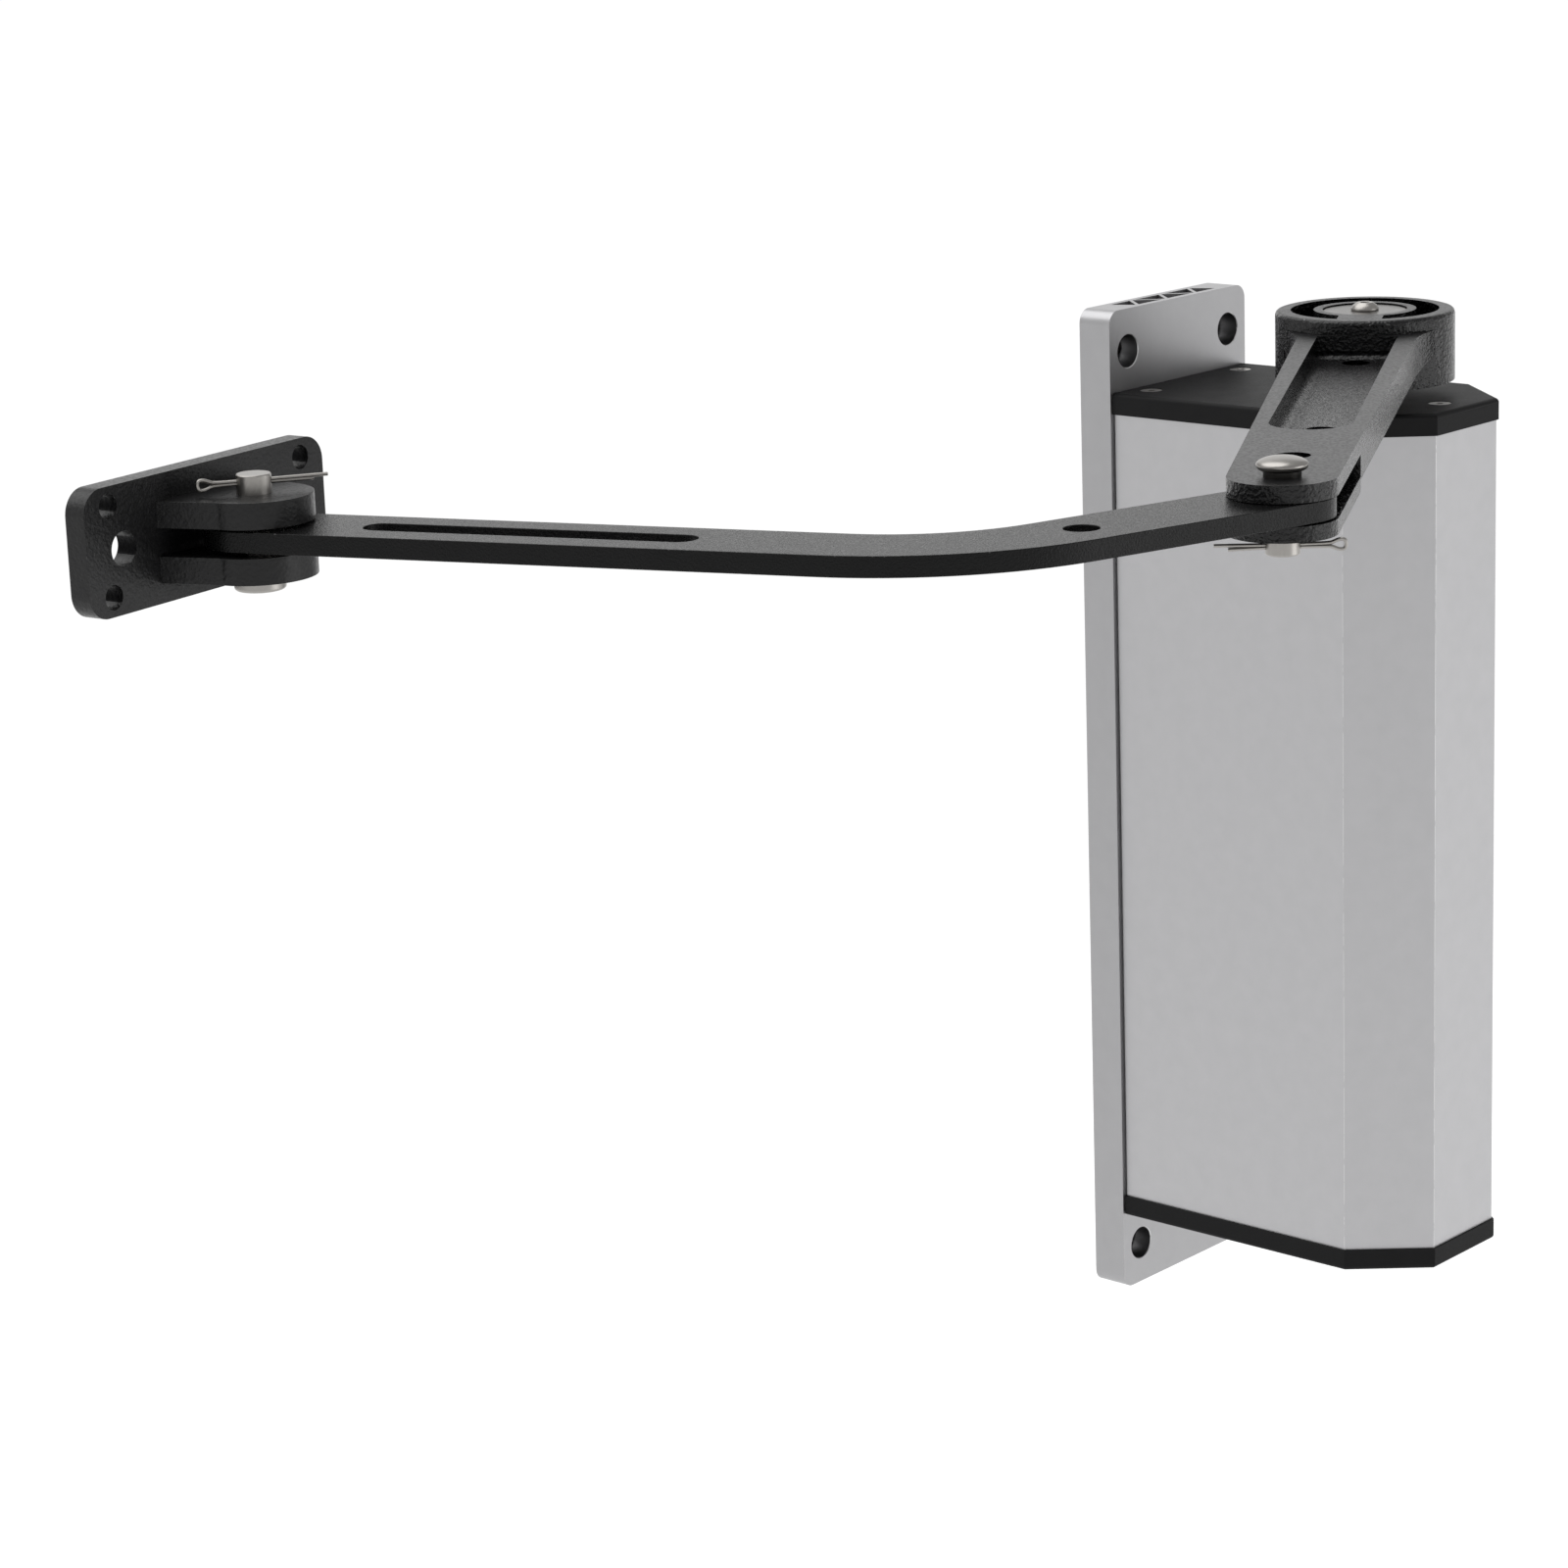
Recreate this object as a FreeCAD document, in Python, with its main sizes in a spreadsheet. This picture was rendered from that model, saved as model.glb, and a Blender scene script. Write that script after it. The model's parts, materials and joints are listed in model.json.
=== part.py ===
"""Wall-mounted hydraulic door closer with a cast main arm, a bent flat forearm and a clevis bracket.

Millimetres and degrees. +Z is up, the wall is the plane Y = 0 and the closer stands out towards -Y.
The origin is the middle of the wall plate's back face. The spindle turns about a vertical axis in
front of it, and the arm hangs together from pin to pin: spindle, elbow pin, bracket pin.
"""
import FreeCAD, Part
import math
import os
import re

import Sketcher

from FreeCAD import Placement, Rotation, Vector

NEAR = 0.01  # how close two lengths in millimetres must be to count as the same

SIZES = {
    # wall plate
    "plate_width": 80.0, "plate_height": 360.0, "plate_depth": 13.0, "plate_corner": 5.0,
    "plate_skin": 2.5, "cavity_half": 25.5, "cavity_pitch": 8.5, "cavity_web": 1.7,
    "fixing_across": 59.0, "fixing_up": 330.0, "fixing_front_radius": 5.8, "fixing_radius": 4.25,
    # housing and caps
    "housing_width": 77.0, "housing_depth": 120.0, "corner_across": 20.0, "corner_deep": 24.0,
    "housing_half": 144.0, "housing_wall": 3.0, "back_relief": 0.8,
    "port_across": 26.5, "port_back": 7.6, "port_front": 10.7, "port_radius": 4.5, "port_bore": 1.95,
    "cap_lip": 0.75, "cap_thick": 7.5, "cap_spigot": 4.0, "cap_fit": 0.4, "cap_round": 1.6,
    "cap_back_gap": 0.3, "spindle_opening": 13.5, "adjuster_opening": 4.6,
    "cap_screw_head": 7.8, "cap_screw_bore": 4.4, "cap_screw_shank": 3.9, "cap_screw_long": 16.0,
    "cap_screw_hex": 2.5, "cap_screw_sink": 0.15,
    # pressure body
    "spindle_out": 92.0, "body_radius": 25.0, "bore_radius": 20.0, "body_top": 112.0,
    "body_bottom": -118.0, "foot_width": 43.0, "foot_depth": 9.0, "rib_width": 18.0,
    "body_screw_across": 34.0, "body_screw_up": 180.0, "body_screw_head": 6.5,
    "body_screw_head_deep": 5.0, "body_screw_shank": 4.0, "body_screw_long": 22.0,
    # bearings, head, plug
    "head_flange": 24.0, "head_flange_thick": 6.0, "head_deep": 22.0, "head_bore": 12.5,
    "plug_flange": 24.0, "plug_flange_thick": 8.0, "plug_deep": 22.0, "plug_pocket": 14.0,
    "seal_wide": 3.0, "seal_deep": 2.0, "bush_wall": 2.5, "bush_long": 14.0, "running_fit": 0.05,
    "shaft_seal_thick": 6.0, "thrust_thick": 2.0, "thrust_outer": 14.0,
    "valve_out": 14.0, "valve_radius": 4.0, "valve_long": 16.0, "needle_radius": 1.6,
    "needle_long": 9.0, "valve_slot": 1.2, "valve_stand": 1.5,
    # spindle, piston, spring
    "spindle_radius": 10.0, "spindle_low_radius": 7.0, "spindle_square": 16.0,
    "screw_core": 8.0, "screw_rib": 2.2, "screw_rib_wide": 4.0, "screw_lead": 64.0,
    "screw_top": 82.0, "screw_bottom": 6.0, "screw_starts": 3.0, "screw_gap": 0.35,
    "piston_gap": 0.1, "piston_top": 72.0, "piston_tall": 44.0, "piston_ring_wide": 3.0,
    "piston_ring_deep": 1.8, "guide_radius": 3.0, "guide_reach": 2.6, "guide_level": 43.5,
    "guide_gap": 0.3, "guide_slot_up": 9.0, "spring_wire": 5.0, "spring_mean": 14.5, "spring_turns": 11.0,
    # hub and main arm
    "hub_radius": 30.5, "hub_top": 181.5, "hub_bottom": 157.5, "hub_rim": 25.2, "hub_boss": 17.4,
    "hub_well": 163.0, "hub_web": 15.0, "washer_radius": 14.1, "washer_thick": 2.0, "washer_drop": 0.5,
    "arm_length": 288.0, "arm_turn": -150.4, "arm_top": 176.7, "arm_bottom": 160.5,
    "arm_root_half": 20.5, "arm_tip": 15.7, "flare_round": 48.0, "under_chamfer": 3.6,
    "floor_round": 3.0,
    "channel_floor": 168.7, "channel_start": 31.0, "channel_end": 213.0, "channel_half": 13.4,
    "channel_tip": 12.6, "fork_top": 171.6, "fork_low": 165.0, "fork_root": 226.0,
    "spare_hole_at": 256.0, "light_hole_near": 37.5, "light_hole_far": 166.5, "light_hole": 4.8,
    "hub_screw_head": 4.7, "hub_screw_rise": 2.7, "hub_screw_shank": 2.5, "hub_screw_long": 14.0,
    "hub_screw_hex": 3.0,
    # pins
    "pin_radius": 5.0, "pin_bore": 5.06, "pin_head": 7.4, "elbow_collar": 5.4, "elbow_head_low": 178.3,
    "elbow_head_high": 182.4, "elbow_pin_low": 154.4, "split_wire": 0.85, "split_eye": 1.5,
    "split_short": 4.0, "split_total": 38.2, "elbow_eye_out": 18.3, "bracket_eye_out": 16.5,
    "split_inset": 2.4, "split_turn_elbow": 131.2, "split_turn_bracket": -32.0,
    "bracket_pin_high": 185.3, "bracket_head_thick": 4.2,
    # forearm
    "bar_width": 30.0, "bar_thick": 6.0, "bar_low": 165.3, "bar_turn": 164.8, "near_leg": 111.8,
    "far_leg": 207.5, "bend_angle": 53.8, "bend_radius": 68.0, "bar_hole_at": 70.0, "bar_hole": 5.1,
    "slot_start": 73.7, "slot_end": 173.7, "slot_half": 5.1,
    # leaf bracket
    "bracket_turn": 8.2, "bracket_long": 103.0, "bracket_tall": 36.8, "bracket_thick": 6.8,
    "bracket_out": 17.5, "bracket_middle": 168.0, "leaf_middle": 168.9, "bracket_corner": 7.5,
    "lug_gap": 8.2, "lug_thick": 7.6, "lug_radius": 16.8, "lug_root_half": 22.0, "leaf_across": 83.0,
    "leaf_up": 25.7, "leaf_hole": 3.55, "middle_across": 72.4, "middle_hole": 5.0,
}

document = FreeCAD.newDocument("DoorCloser")
sheet = document.addObject("Spreadsheet::Sheet", "Sizes")
for row, (alias, number) in enumerate(SIZES.items(), start=1):
    sheet.set(f"A{row}", alias)
    sheet.set(f"B{row}", str(number))
    sheet.setAlias(f"B{row}", alias)
document.recompute()

NAMES = re.compile("|".join(sorted(SIZES, key=len, reverse=True)))
pieces = []


def size(alias):
    """One driving size, read back from the sheet."""
    return float(sheet.get(alias))


def bound(text):
    """An expression in aliases, written so that FreeCAD finds them in the sheet."""
    return NAMES.sub(lambda match: "Sizes." + match.group(0), text)


def bind(thing, **properties):
    """Bind properties of an object to expressions in the sheet's aliases."""
    for name, text in properties.items():
        thing.setExpression(name, bound(text))


def keep(thing, name):
    """Name an object as one of the closer's pieces."""
    thing.Label = name
    pieces.append(thing)
    return thing


def bind_point(sketch, geometry, point, across, up):
    """Hold one point of a sketch at two bound distances from the sketch's origin."""
    for kind, text in (("DistanceX", across), ("DistanceY", up)):
        index = sketch.addConstraint(Sketcher.Constraint(kind, -1, 1, geometry, point, 1.0))
        sketch.setExpression(f"Constraints[{index}]", bound(text))


def draw_outline(sketch, points):
    """A closed polygon through points given as pairs of bound distances."""
    count = len(points)
    first = sketch.GeometryCount
    angles = [2 * math.pi * step / count for step in range(count)]
    corners = [Vector(math.cos(angle), math.sin(angle), 0) for angle in angles]
    for step in range(count):
        sketch.addGeometry(Part.LineSegment(corners[step], corners[(step + 1) % count]), False)
    for step in range(count):
        following = first + (step + 1) % count
        sketch.addConstraint(Sketcher.Constraint("Coincident", first + step, 2, following, 1))
    for step, (across, up) in enumerate(points):
        bind_point(sketch, first + step, 1, across, up)


def draw_rectangle(sketch, left, right, low, high):
    draw_outline(sketch, [(left, low), (right, low), (right, high), (left, high)])


def draw_circle(sketch, across, up, radius):
    """A circle whose middle and radius are bound."""
    index = sketch.addGeometry(Part.Circle(Vector(0, 0, 0), Vector(0, 0, 1), 1.0), False)
    bind_point(sketch, index, 3, across, up)
    constraint = sketch.addConstraint(Sketcher.Constraint("Radius", index, 1.0))
    sketch.setExpression(f"Constraints[{constraint}]", bound(radius))


def new_body(name):
    return keep(document.addObject("PartDesign::Body", name), name)


def new_sketch(body, plane, offset=None):
    """A sketch on one of the body's origin planes, moved along the plane's normal if asked."""
    sketch = body.newObject("Sketcher::SketchObject", "Sketch")
    origin = [item for item in body.Origin.OriginFeatures if item.Role == plane]
    sketch.AttachmentSupport = (origin[0], "")
    sketch.MapMode = "FlatFace"
    if offset is not None:
        sketch.setExpression(".AttachmentOffset.Base.z", bound(offset))
    return sketch


def pad(body, sketch, length, downwards=False):
    """Add a sketch's extrusion to its body."""
    feature = body.newObject("PartDesign::Pad", "Pad")
    feature.Profile = sketch
    feature.Reversed = downwards
    bind(feature, Length=length)
    document.recompute()
    return feature


def pocket(body, sketch, length, backwards=False):
    """Cut a sketch's extrusion from its body and make sure that it did cut."""
    before = body.Shape.Volume
    feature = body.newObject("PartDesign::Pocket", "Pocket")
    feature.Profile = sketch
    feature.Reversed = backwards
    bind(feature, Length=length)
    document.recompute()
    if body.Shape.Volume > before - NEAR:
        raise RuntimeError(f"{body.Label}: a pocket cut nothing")
    return feature


def revolve(body, sketch):
    """Turn a sketch on the XZ plane about the body's vertical axis."""
    feature = body.newObject("PartDesign::Revolution", "Revolution")
    feature.Profile = sketch
    feature.ReferenceAxis = (sketch, ["V_Axis"])
    feature.Angle = 360
    document.recompute()
    return feature


def edges_where(shape, test):
    """Names of the shape's edges whose middle passes a test."""
    names = []
    for number, edge in enumerate(shape.Edges, start=1):
        middle = edge.valueAt((edge.FirstParameter + edge.LastParameter) / 2)
        if test(edge, middle):
            names.append(f"Edge{number}")
    return names


def ease_edges(body, kind, amount, test):
    """Fillet or chamfer the edges of the body's tip that pass a test."""
    feature = body.newObject("PartDesign::" + kind, kind)
    feature.Base = (feature.BaseFeature, edges_where(feature.BaseFeature.Shape, test))
    bind(feature, **{"Radius" if kind == "Fillet" else "Size": amount})
    document.recompute()
    return feature


def round_edges(body, radius, test):
    return ease_edges(body, "Fillet", radius, test)


def is_upright(edge):
    ends = edge.Vertexes
    return len(ends) == 2 and (ends[0].Point - ends[1].Point).cross(Vector(0, 0, 1)).Length < NEAR


def spindle_place():
    return Vector(0, -size("spindle_out"), 0)


def elbow_place():
    angle = math.radians(size("arm_turn"))
    return spindle_place() + Vector(math.cos(angle), math.sin(angle), 0) * size("arm_length")


def bracket_place():
    near = math.radians(size("bar_turn"))
    far = near - math.radians(size("bend_angle"))
    bend = elbow_place() + Vector(math.cos(near), math.sin(near), 0) * size("near_leg")
    return bend + Vector(math.cos(far), math.sin(far), 0) * size("far_leg")


def stand(thing, place, turn=0.0):
    """Put a finished piece at a place in plan, turned about the vertical."""
    thing.Placement = Placement(place, Rotation(Vector(0, 0, 1), turn))
    return thing


# ---------------------------------------------------------------- wall plate, housing and caps

def build_wall_plate():
    body = new_body("wall_plate")
    profile = new_sketch(body, "XY_Plane", "-plate_height / 2")
    draw_rectangle(profile, "-plate_width / 2", "plate_width / 2", "-plate_depth", "0")
    pad(body, profile, "plate_height")
    round_edges(body, "plate_corner", lambda edge, middle: abs(middle.x) > size("plate_width") / 2 - NEAR
                and abs(middle.z) > size("plate_height") / 2 - NEAR)
    cavities = new_sketch(body, "XY_Plane", "plate_height / 2")
    low, high = "-plate_depth + plate_skin", "-plate_skin"
    for step in range(6):
        left = f"-cavity_half + {step} * cavity_pitch - cavity_pitch / 2 + cavity_web"
        right = f"-cavity_half + {step + 1} * cavity_pitch + cavity_pitch / 2 - cavity_web"
        tip = f"-cavity_half + {step} * cavity_pitch + cavity_pitch / 2"
        base, point = (low, high) if step % 2 else (high, low)
        if step == 0:
            left = "-cavity_half"
        if step == 5:
            right = "cavity_half"
        draw_outline(cavities, [(left, base), (right, base), (tip, point)])
    pocket(body, cavities, "plate_height")
    signs = [(across, up) for across in ("-", "") for up in ("-", "")]
    for radius, offset in (("fixing_radius", "0"), ("fixing_front_radius", "plate_skin + 2")):
        holes = new_sketch(body, "XZ_Plane", offset)
        for across, up in signs:
            draw_circle(holes, f"{across}fixing_across / 2", f"{up}fixing_up / 2", radius)
        pocket(body, holes, "plate_depth", backwards=True)
    for radius, deep in (("body_screw_shank + 0.3", "plate_depth"),
                         ("body_screw_head + 0.3", "body_screw_head_deep + 0.5")):
        holes = new_sketch(body, "XZ_Plane")
        for across, up in signs:
            draw_circle(holes, f"{across}body_screw_across / 2", f"{up}body_screw_up / 2", radius)
        pocket(body, holes, deep, backwards=True)


def housing_outline(grow, back):
    """The housing's six-cornered outline, moved outwards by grow, with its back edge at back."""
    half = f"housing_width / 2 + {grow}"
    inner = f"housing_width / 2 - corner_across + {grow} * 0.5"
    front = f"-plate_depth - housing_depth - {grow}"
    corner = f"-plate_depth - housing_depth + corner_deep - {grow} * 0.5"
    return [(f"-({half})", back), (f"-({half})", corner), (f"-({inner})", front),
            (inner, front), (half, corner), (half, back)]


def build_housing_tube():
    body = new_body("housing_tube")
    profile = new_sketch(body, "XY_Plane", "-housing_half")
    draw_outline(profile, housing_outline("0", "-plate_depth"))
    pad(body, profile, "housing_half * 2")
    inside = new_sketch(body, "XY_Plane", "housing_half")
    draw_outline(inside, housing_outline("-housing_wall", "-plate_depth - housing_wall"))
    pocket(body, inside, "housing_half * 2")
    ports = new_sketch(body, "XY_Plane", "-housing_half")
    back = "-plate_depth - port_back"
    front = "-plate_depth - housing_depth + port_front"
    for sign in ("-", ""):
        draw_circle(ports, f"{sign}port_across", back, "port_radius")
    draw_circle(ports, "0", front, "port_radius")
    pad(body, ports, "housing_half * 2")
    ribs = new_sketch(body, "XY_Plane", "-housing_half")
    draw_rectangle(ribs, "-2", "2", "-plate_depth - housing_depth + 1", f"{front} - 3")
    for sign in ("-", ""):
        draw_rectangle(ribs, f"{sign}port_across - 2", f"{sign}port_across + 2",
                       f"{back} + 3", "-plate_depth - 1")
    pad(body, ribs, "housing_half * 2")
    bores = new_sketch(body, "XY_Plane", "housing_half")
    for across, deep in (("-port_across", back), ("port_across", back), ("0", front)):
        draw_circle(bores, across, deep, "port_bore")
    pocket(body, bores, "housing_half * 2")
    holes = new_sketch(body, "XZ_Plane", "plate_depth - 1")
    for across in ("-", ""):
        for up in ("-", ""):
            draw_circle(holes, f"{across}body_screw_across / 2", f"{up}body_screw_up / 2",
                        "body_screw_shank + 0.3")
    pocket(body, holes, "housing_wall + 2", backwards=True)
    ease_edges(body, "Chamfer", "back_relief", lambda edge, middle: is_upright(edge)
               and abs(middle.y + size("plate_depth")) < NEAR
               and abs(middle.x) > size("housing_width") / 2 - NEAR)


def build_cap(name, upper):
    """An end cap: lipped cover, spigot inside the housing, countersunk holes for three screws."""
    body = new_body(name)
    cover = new_sketch(body, "XY_Plane")
    draw_outline(cover, housing_outline("cap_lip", "-plate_depth - cap_back_gap"))
    pad(body, cover, "cap_thick")
    round_edges(body, "cap_round", lambda edge, middle: middle.z > size("cap_thick") - NEAR
                and middle.y < -size("plate_depth") - size("cap_back_gap") - NEAR)
    front = "-plate_depth - housing_depth + port_front"
    back = "-plate_depth - port_back"
    spigot = new_sketch(body, "XY_Plane")
    draw_rectangle(spigot, "-15", "15", "-plate_depth - housing_wall - cap_fit",
                   f"{front} + port_radius + 2")
    pad(body, spigot, "cap_spigot", downwards=True)
    openings = new_sketch(body, "XY_Plane", "cap_thick")
    if upper:
        draw_circle(openings, "0", "-spindle_out", "spindle_opening")
    else:
        for sign in ("-", ""):
            draw_circle(openings, f"{sign}valve_out", "-spindle_out", "adjuster_opening")
    pocket(body, openings, "cap_thick + cap_spigot")
    screws = new_sketch(body, "XY_Plane", "cap_thick")
    for across, deep in (("-port_across", back), ("port_across", back), ("0", front)):
        draw_circle(screws, across, deep, "cap_screw_bore / 2")
    document.recompute()
    hole = body.newObject("PartDesign::Hole", "Hole")
    hole.Profile = screws
    document.recompute()
    hole.DepthType = "ThroughAll"
    hole.HoleCutType = "Countersink"
    hole.HoleCutCountersinkAngle = 90
    bind(hole, Diameter="cap_screw_bore", HoleCutDiameter="cap_screw_head + cap_screw_sink * 2")
    document.recompute()
    if upper:
        return stand(body, Vector(0, 0, size("housing_half")))
    body.Placement = Placement(Vector(0, 0, -size("housing_half")), Rotation(Vector(0, 1, 0), 180))
    return body


def make_cylinder(radius, height, place, axis=Vector(0, 0, 1)):
    """A bound cylinder that starts at a place and runs along an axis."""
    rod = document.addObject("Part::Cylinder", "Rod")
    bind(rod, Radius=radius, Height=height)
    rod.Placement = Placement(place, Rotation(Vector(0, 0, 1), axis))
    return rod


def make_cone(small, large, height, place, axis):
    """A bound cone that starts at a place with its small end and grows along an axis."""
    cone = document.addObject("Part::Cone", "Cone")
    bind(cone, Radius1=small, Radius2=large, Height=height)
    cone.Placement = Placement(place, Rotation(Vector(0, 0, 1), axis))
    return cone


def make_hex(across, height, place, axis):
    """A bound hexagon socket, measured across its flats."""
    socket = document.addObject("Part::Prism", "Socket")
    socket.Polygon = 6
    bind(socket, Circumradius=f"({across}) / 2 / cos(30 deg)", Height=height)
    socket.Placement = Placement(place, Rotation(Vector(0, 0, 1), axis))
    return socket


def join(name, shapes):
    fuse = document.addObject("Part::MultiFuse", name)
    fuse.Shapes = shapes
    document.recompute()
    return fuse


def cut(name, base, tool):
    result = document.addObject("Part::Cut", name)
    result.Base = base
    result.Tool = tool
    document.recompute()
    return result


def group(name, shapes):
    """Identical fasteners in one node, each a solid of its own."""
    compound = document.addObject("Part::Compound", name)
    compound.Links = shapes
    document.recompute()
    return keep(compound, name)


def countersunk_screw(place, axis):
    """A countersunk screw whose head's face is at a place and whose shank runs along an axis."""
    back = Vector(axis) * -1
    cone_end = place + axis * (size("cap_screw_head") - size("cap_screw_shank")) / 2
    head = make_cone("cap_screw_shank / 2", "cap_screw_head / 2",
                     "(cap_screw_head - cap_screw_shank) / 2", cone_end, back)
    shank = make_cylinder("cap_screw_shank / 2", "cap_screw_long", place, axis)
    socket = make_hex("cap_screw_hex", "1.9", place + back * 0.5, axis)
    return cut("CountersunkScrew", join("ScrewBlank", [head, shank]), socket)


def build_cap_screws(name, level, axis):
    back = -size("plate_depth") - size("port_back")
    front = -size("plate_depth") - size("housing_depth") + size("port_front")
    across = size("port_across")
    places = [Vector(-across, back, level), Vector(across, back, level), Vector(0, front, level)]
    group(name, [countersunk_screw(place, axis) for place in places])


def build_body_screws():
    """Low-head cap screws that reach through the wall plate into the foot of the pressure body."""
    screws = []
    away = Vector(0, -1, 0)
    for across in (-0.5, 0.5):
        for up in (-0.5, 0.5):
            place = Vector(across * size("body_screw_across"), -0.5, up * size("body_screw_up"))
            head = make_cylinder("body_screw_head", "body_screw_head_deep", place, away)
            shank = make_cylinder("body_screw_shank", "body_screw_long", place, away)
            socket = make_hex("5", "3", place - away * 0.5, away)
            screws.append(cut("BodyScrew", join("ScrewBlank", [head, shank]), socket))
    group("body_screws", screws)


# ---------------------------------------------------------------- pressure body and its fittings

def build_hydraulic_body():
    body = new_body("hydraulic_body")
    profile = new_sketch(body, "XY_Plane", "body_bottom")
    draw_circle(profile, "0", "-spindle_out", "body_radius")
    pad(body, profile, "body_top - body_bottom")
    rib = new_sketch(body, "XY_Plane", "body_bottom")
    draw_rectangle(rib, "-rib_width / 2", "rib_width / 2", "-spindle_out + body_radius - 4",
                   "-plate_depth - housing_wall - foot_depth + 1")
    pad(body, rib, "body_top - body_bottom")
    foot = new_sketch(body, "XY_Plane", "body_bottom")
    draw_rectangle(foot, "-foot_width / 2 + 8", "foot_width / 2 - 8",
                   "-plate_depth - housing_wall - foot_depth", "-plate_depth - housing_wall")
    pad(body, foot, "body_top - body_bottom")
    pads = new_sketch(body, "XZ_Plane", "plate_depth + housing_wall")
    for sign in ("-", ""):
        draw_rectangle(pads, "-foot_width / 2", "foot_width / 2",
                       f"{sign}body_screw_up / 2 - 14", f"{sign}body_screw_up / 2 + 14")
    pad(body, pads, "foot_depth")
    bore = new_sketch(body, "XY_Plane", "body_top")
    draw_circle(bore, "0", "-spindle_out", "bore_radius")
    pocket(body, bore, "body_top - body_bottom")
    taps = new_sketch(body, "XZ_Plane", "plate_depth")
    for across in ("-", ""):
        for up in ("-", ""):
            draw_circle(taps, f"{across}body_screw_across / 2", f"{up}body_screw_up / 2",
                        "body_screw_shank")
    pocket(body, taps, "housing_wall + foot_depth + 2", backwards=True)
    guides = new_sketch(body, "YZ_Plane", "-body_radius - 1")
    draw_circle(guides, "-spindle_out", "guide_level", "guide_radius")
    pocket(body, guides, "body_radius * 2 + 2", backwards=True)


def ring_profile(body, inner, outer, low, high):
    """Turn a rectangle into a ring about the body's own vertical axis."""
    profile = new_sketch(body, "XZ_Plane")
    draw_rectangle(profile, inner, outer, low, high)
    revolve(body, profile)
    return stand(body, spindle_place())


def build_upper_head():
    body = new_body("upper_head")
    profile = new_sketch(body, "XZ_Plane")
    groove = "body_top - head_deep / 2"
    draw_outline(profile, [
        ("head_bore", "body_top - head_deep"), ("bore_radius", "body_top - head_deep"),
        ("bore_radius", f"{groove} - seal_wide / 2"),
        ("bore_radius - seal_deep", f"{groove} - seal_wide / 2"),
        ("bore_radius - seal_deep", f"{groove} + seal_wide / 2"),
        ("bore_radius", f"{groove} + seal_wide / 2"), ("bore_radius", "body_top"),
        ("head_flange", "body_top"), ("head_flange", "body_top + head_flange_thick"),
        ("head_bore", "body_top + head_flange_thick")])
    revolve(body, profile)
    stand(body, spindle_place())
    ring_profile(new_body("head_seal"), "bore_radius - seal_deep", "bore_radius",
                 f"{groove} - seal_wide / 2", f"{groove} + seal_wide / 2")


def build_lower_plug():
    body = new_body("lower_plug")
    profile = new_sketch(body, "XZ_Plane")
    groove = "body_bottom + plug_deep / 2"
    draw_outline(profile, [
        ("0", "body_bottom - plug_flange_thick"), ("plug_flange", "body_bottom - plug_flange_thick"),
        ("plug_flange", "body_bottom"), ("bore_radius", "body_bottom"),
        ("bore_radius", f"{groove} - seal_wide / 2"),
        ("bore_radius - seal_deep", f"{groove} - seal_wide / 2"),
        ("bore_radius - seal_deep", f"{groove} + seal_wide / 2"),
        ("bore_radius", f"{groove} + seal_wide / 2"), ("bore_radius", "body_bottom + plug_deep"),
        ("0", "body_bottom + plug_deep")])
    revolve(body, profile)
    well = new_sketch(body, "XY_Plane", "body_bottom + plug_deep")
    draw_circle(well, "0", "0", "spindle_low_radius + bush_wall")
    pocket(body, well, "plug_pocket")
    valves = new_sketch(body, "XY_Plane", "body_bottom - plug_flange_thick")
    for sign in ("-", ""):
        draw_circle(valves, f"{sign}valve_out", "0", "valve_radius + running_fit")
    pocket(body, valves, "valve_long + 1", backwards=True)
    jets = new_sketch(body, "XY_Plane", "body_bottom - plug_flange_thick")
    for sign in ("-", ""):
        draw_circle(jets, f"{sign}valve_out", "0", "needle_radius + 0.3")
    pocket(body, jets, "plug_flange_thick + plug_deep - 2", backwards=True)
    stand(body, spindle_place())
    ring_profile(new_body("plug_seal"), "bore_radius - seal_deep", "bore_radius",
                 f"{groove} - seal_wide / 2", f"{groove} + seal_wide / 2")


def build_bearings():
    """Bronze bushes, the thrust washer and the lip seal, all rings about the spindle."""
    seal_top = "body_top + head_flange_thick"
    ring_profile(new_body("upper_bush"), "spindle_radius + running_fit", "head_bore",
                 f"{seal_top} - shaft_seal_thick - bush_long", f"{seal_top} - shaft_seal_thick")
    ring_profile(new_body("shaft_seal"), "spindle_radius + running_fit", "head_bore",
                 f"{seal_top} - shaft_seal_thick", seal_top)
    ring_profile(new_body("lower_bush"), "spindle_low_radius + running_fit",
                 "spindle_low_radius + bush_wall",
                 "body_bottom + plug_deep - plug_pocket + 2", "body_bottom + plug_deep")
    ring_profile(new_body("thrust_washer"), "spindle_radius + 0.2", "thrust_outer",
                 "body_top - head_deep - thrust_thick", "body_top - head_deep")


def build_valve(name, side):
    """An adjuster screw with a needle tip, a slotted head and its axis beside the spindle's."""
    body = new_body(name)
    profile = new_sketch(body, "XZ_Plane")
    low = "body_bottom - plug_flange_thick - valve_stand"
    high = f"{low} + valve_long"
    draw_outline(profile, [("0", low), ("valve_radius", low), ("valve_radius", high),
                           ("needle_radius", high), ("needle_radius", f"{high} + needle_long - 3"),
                           ("0", f"{high} + needle_long")])
    revolve(body, profile)
    slot = new_sketch(body, "XY_Plane", low)
    draw_rectangle(slot, "-valve_radius - 1", "valve_radius + 1", "-valve_slot / 2", "valve_slot / 2")
    pocket(body, slot, "1.4", backwards=True)
    stand(body, spindle_place() + Vector(side * size("valve_out"), 0, 0))


# ---------------------------------------------------------------- spindle, piston and spring

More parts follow.
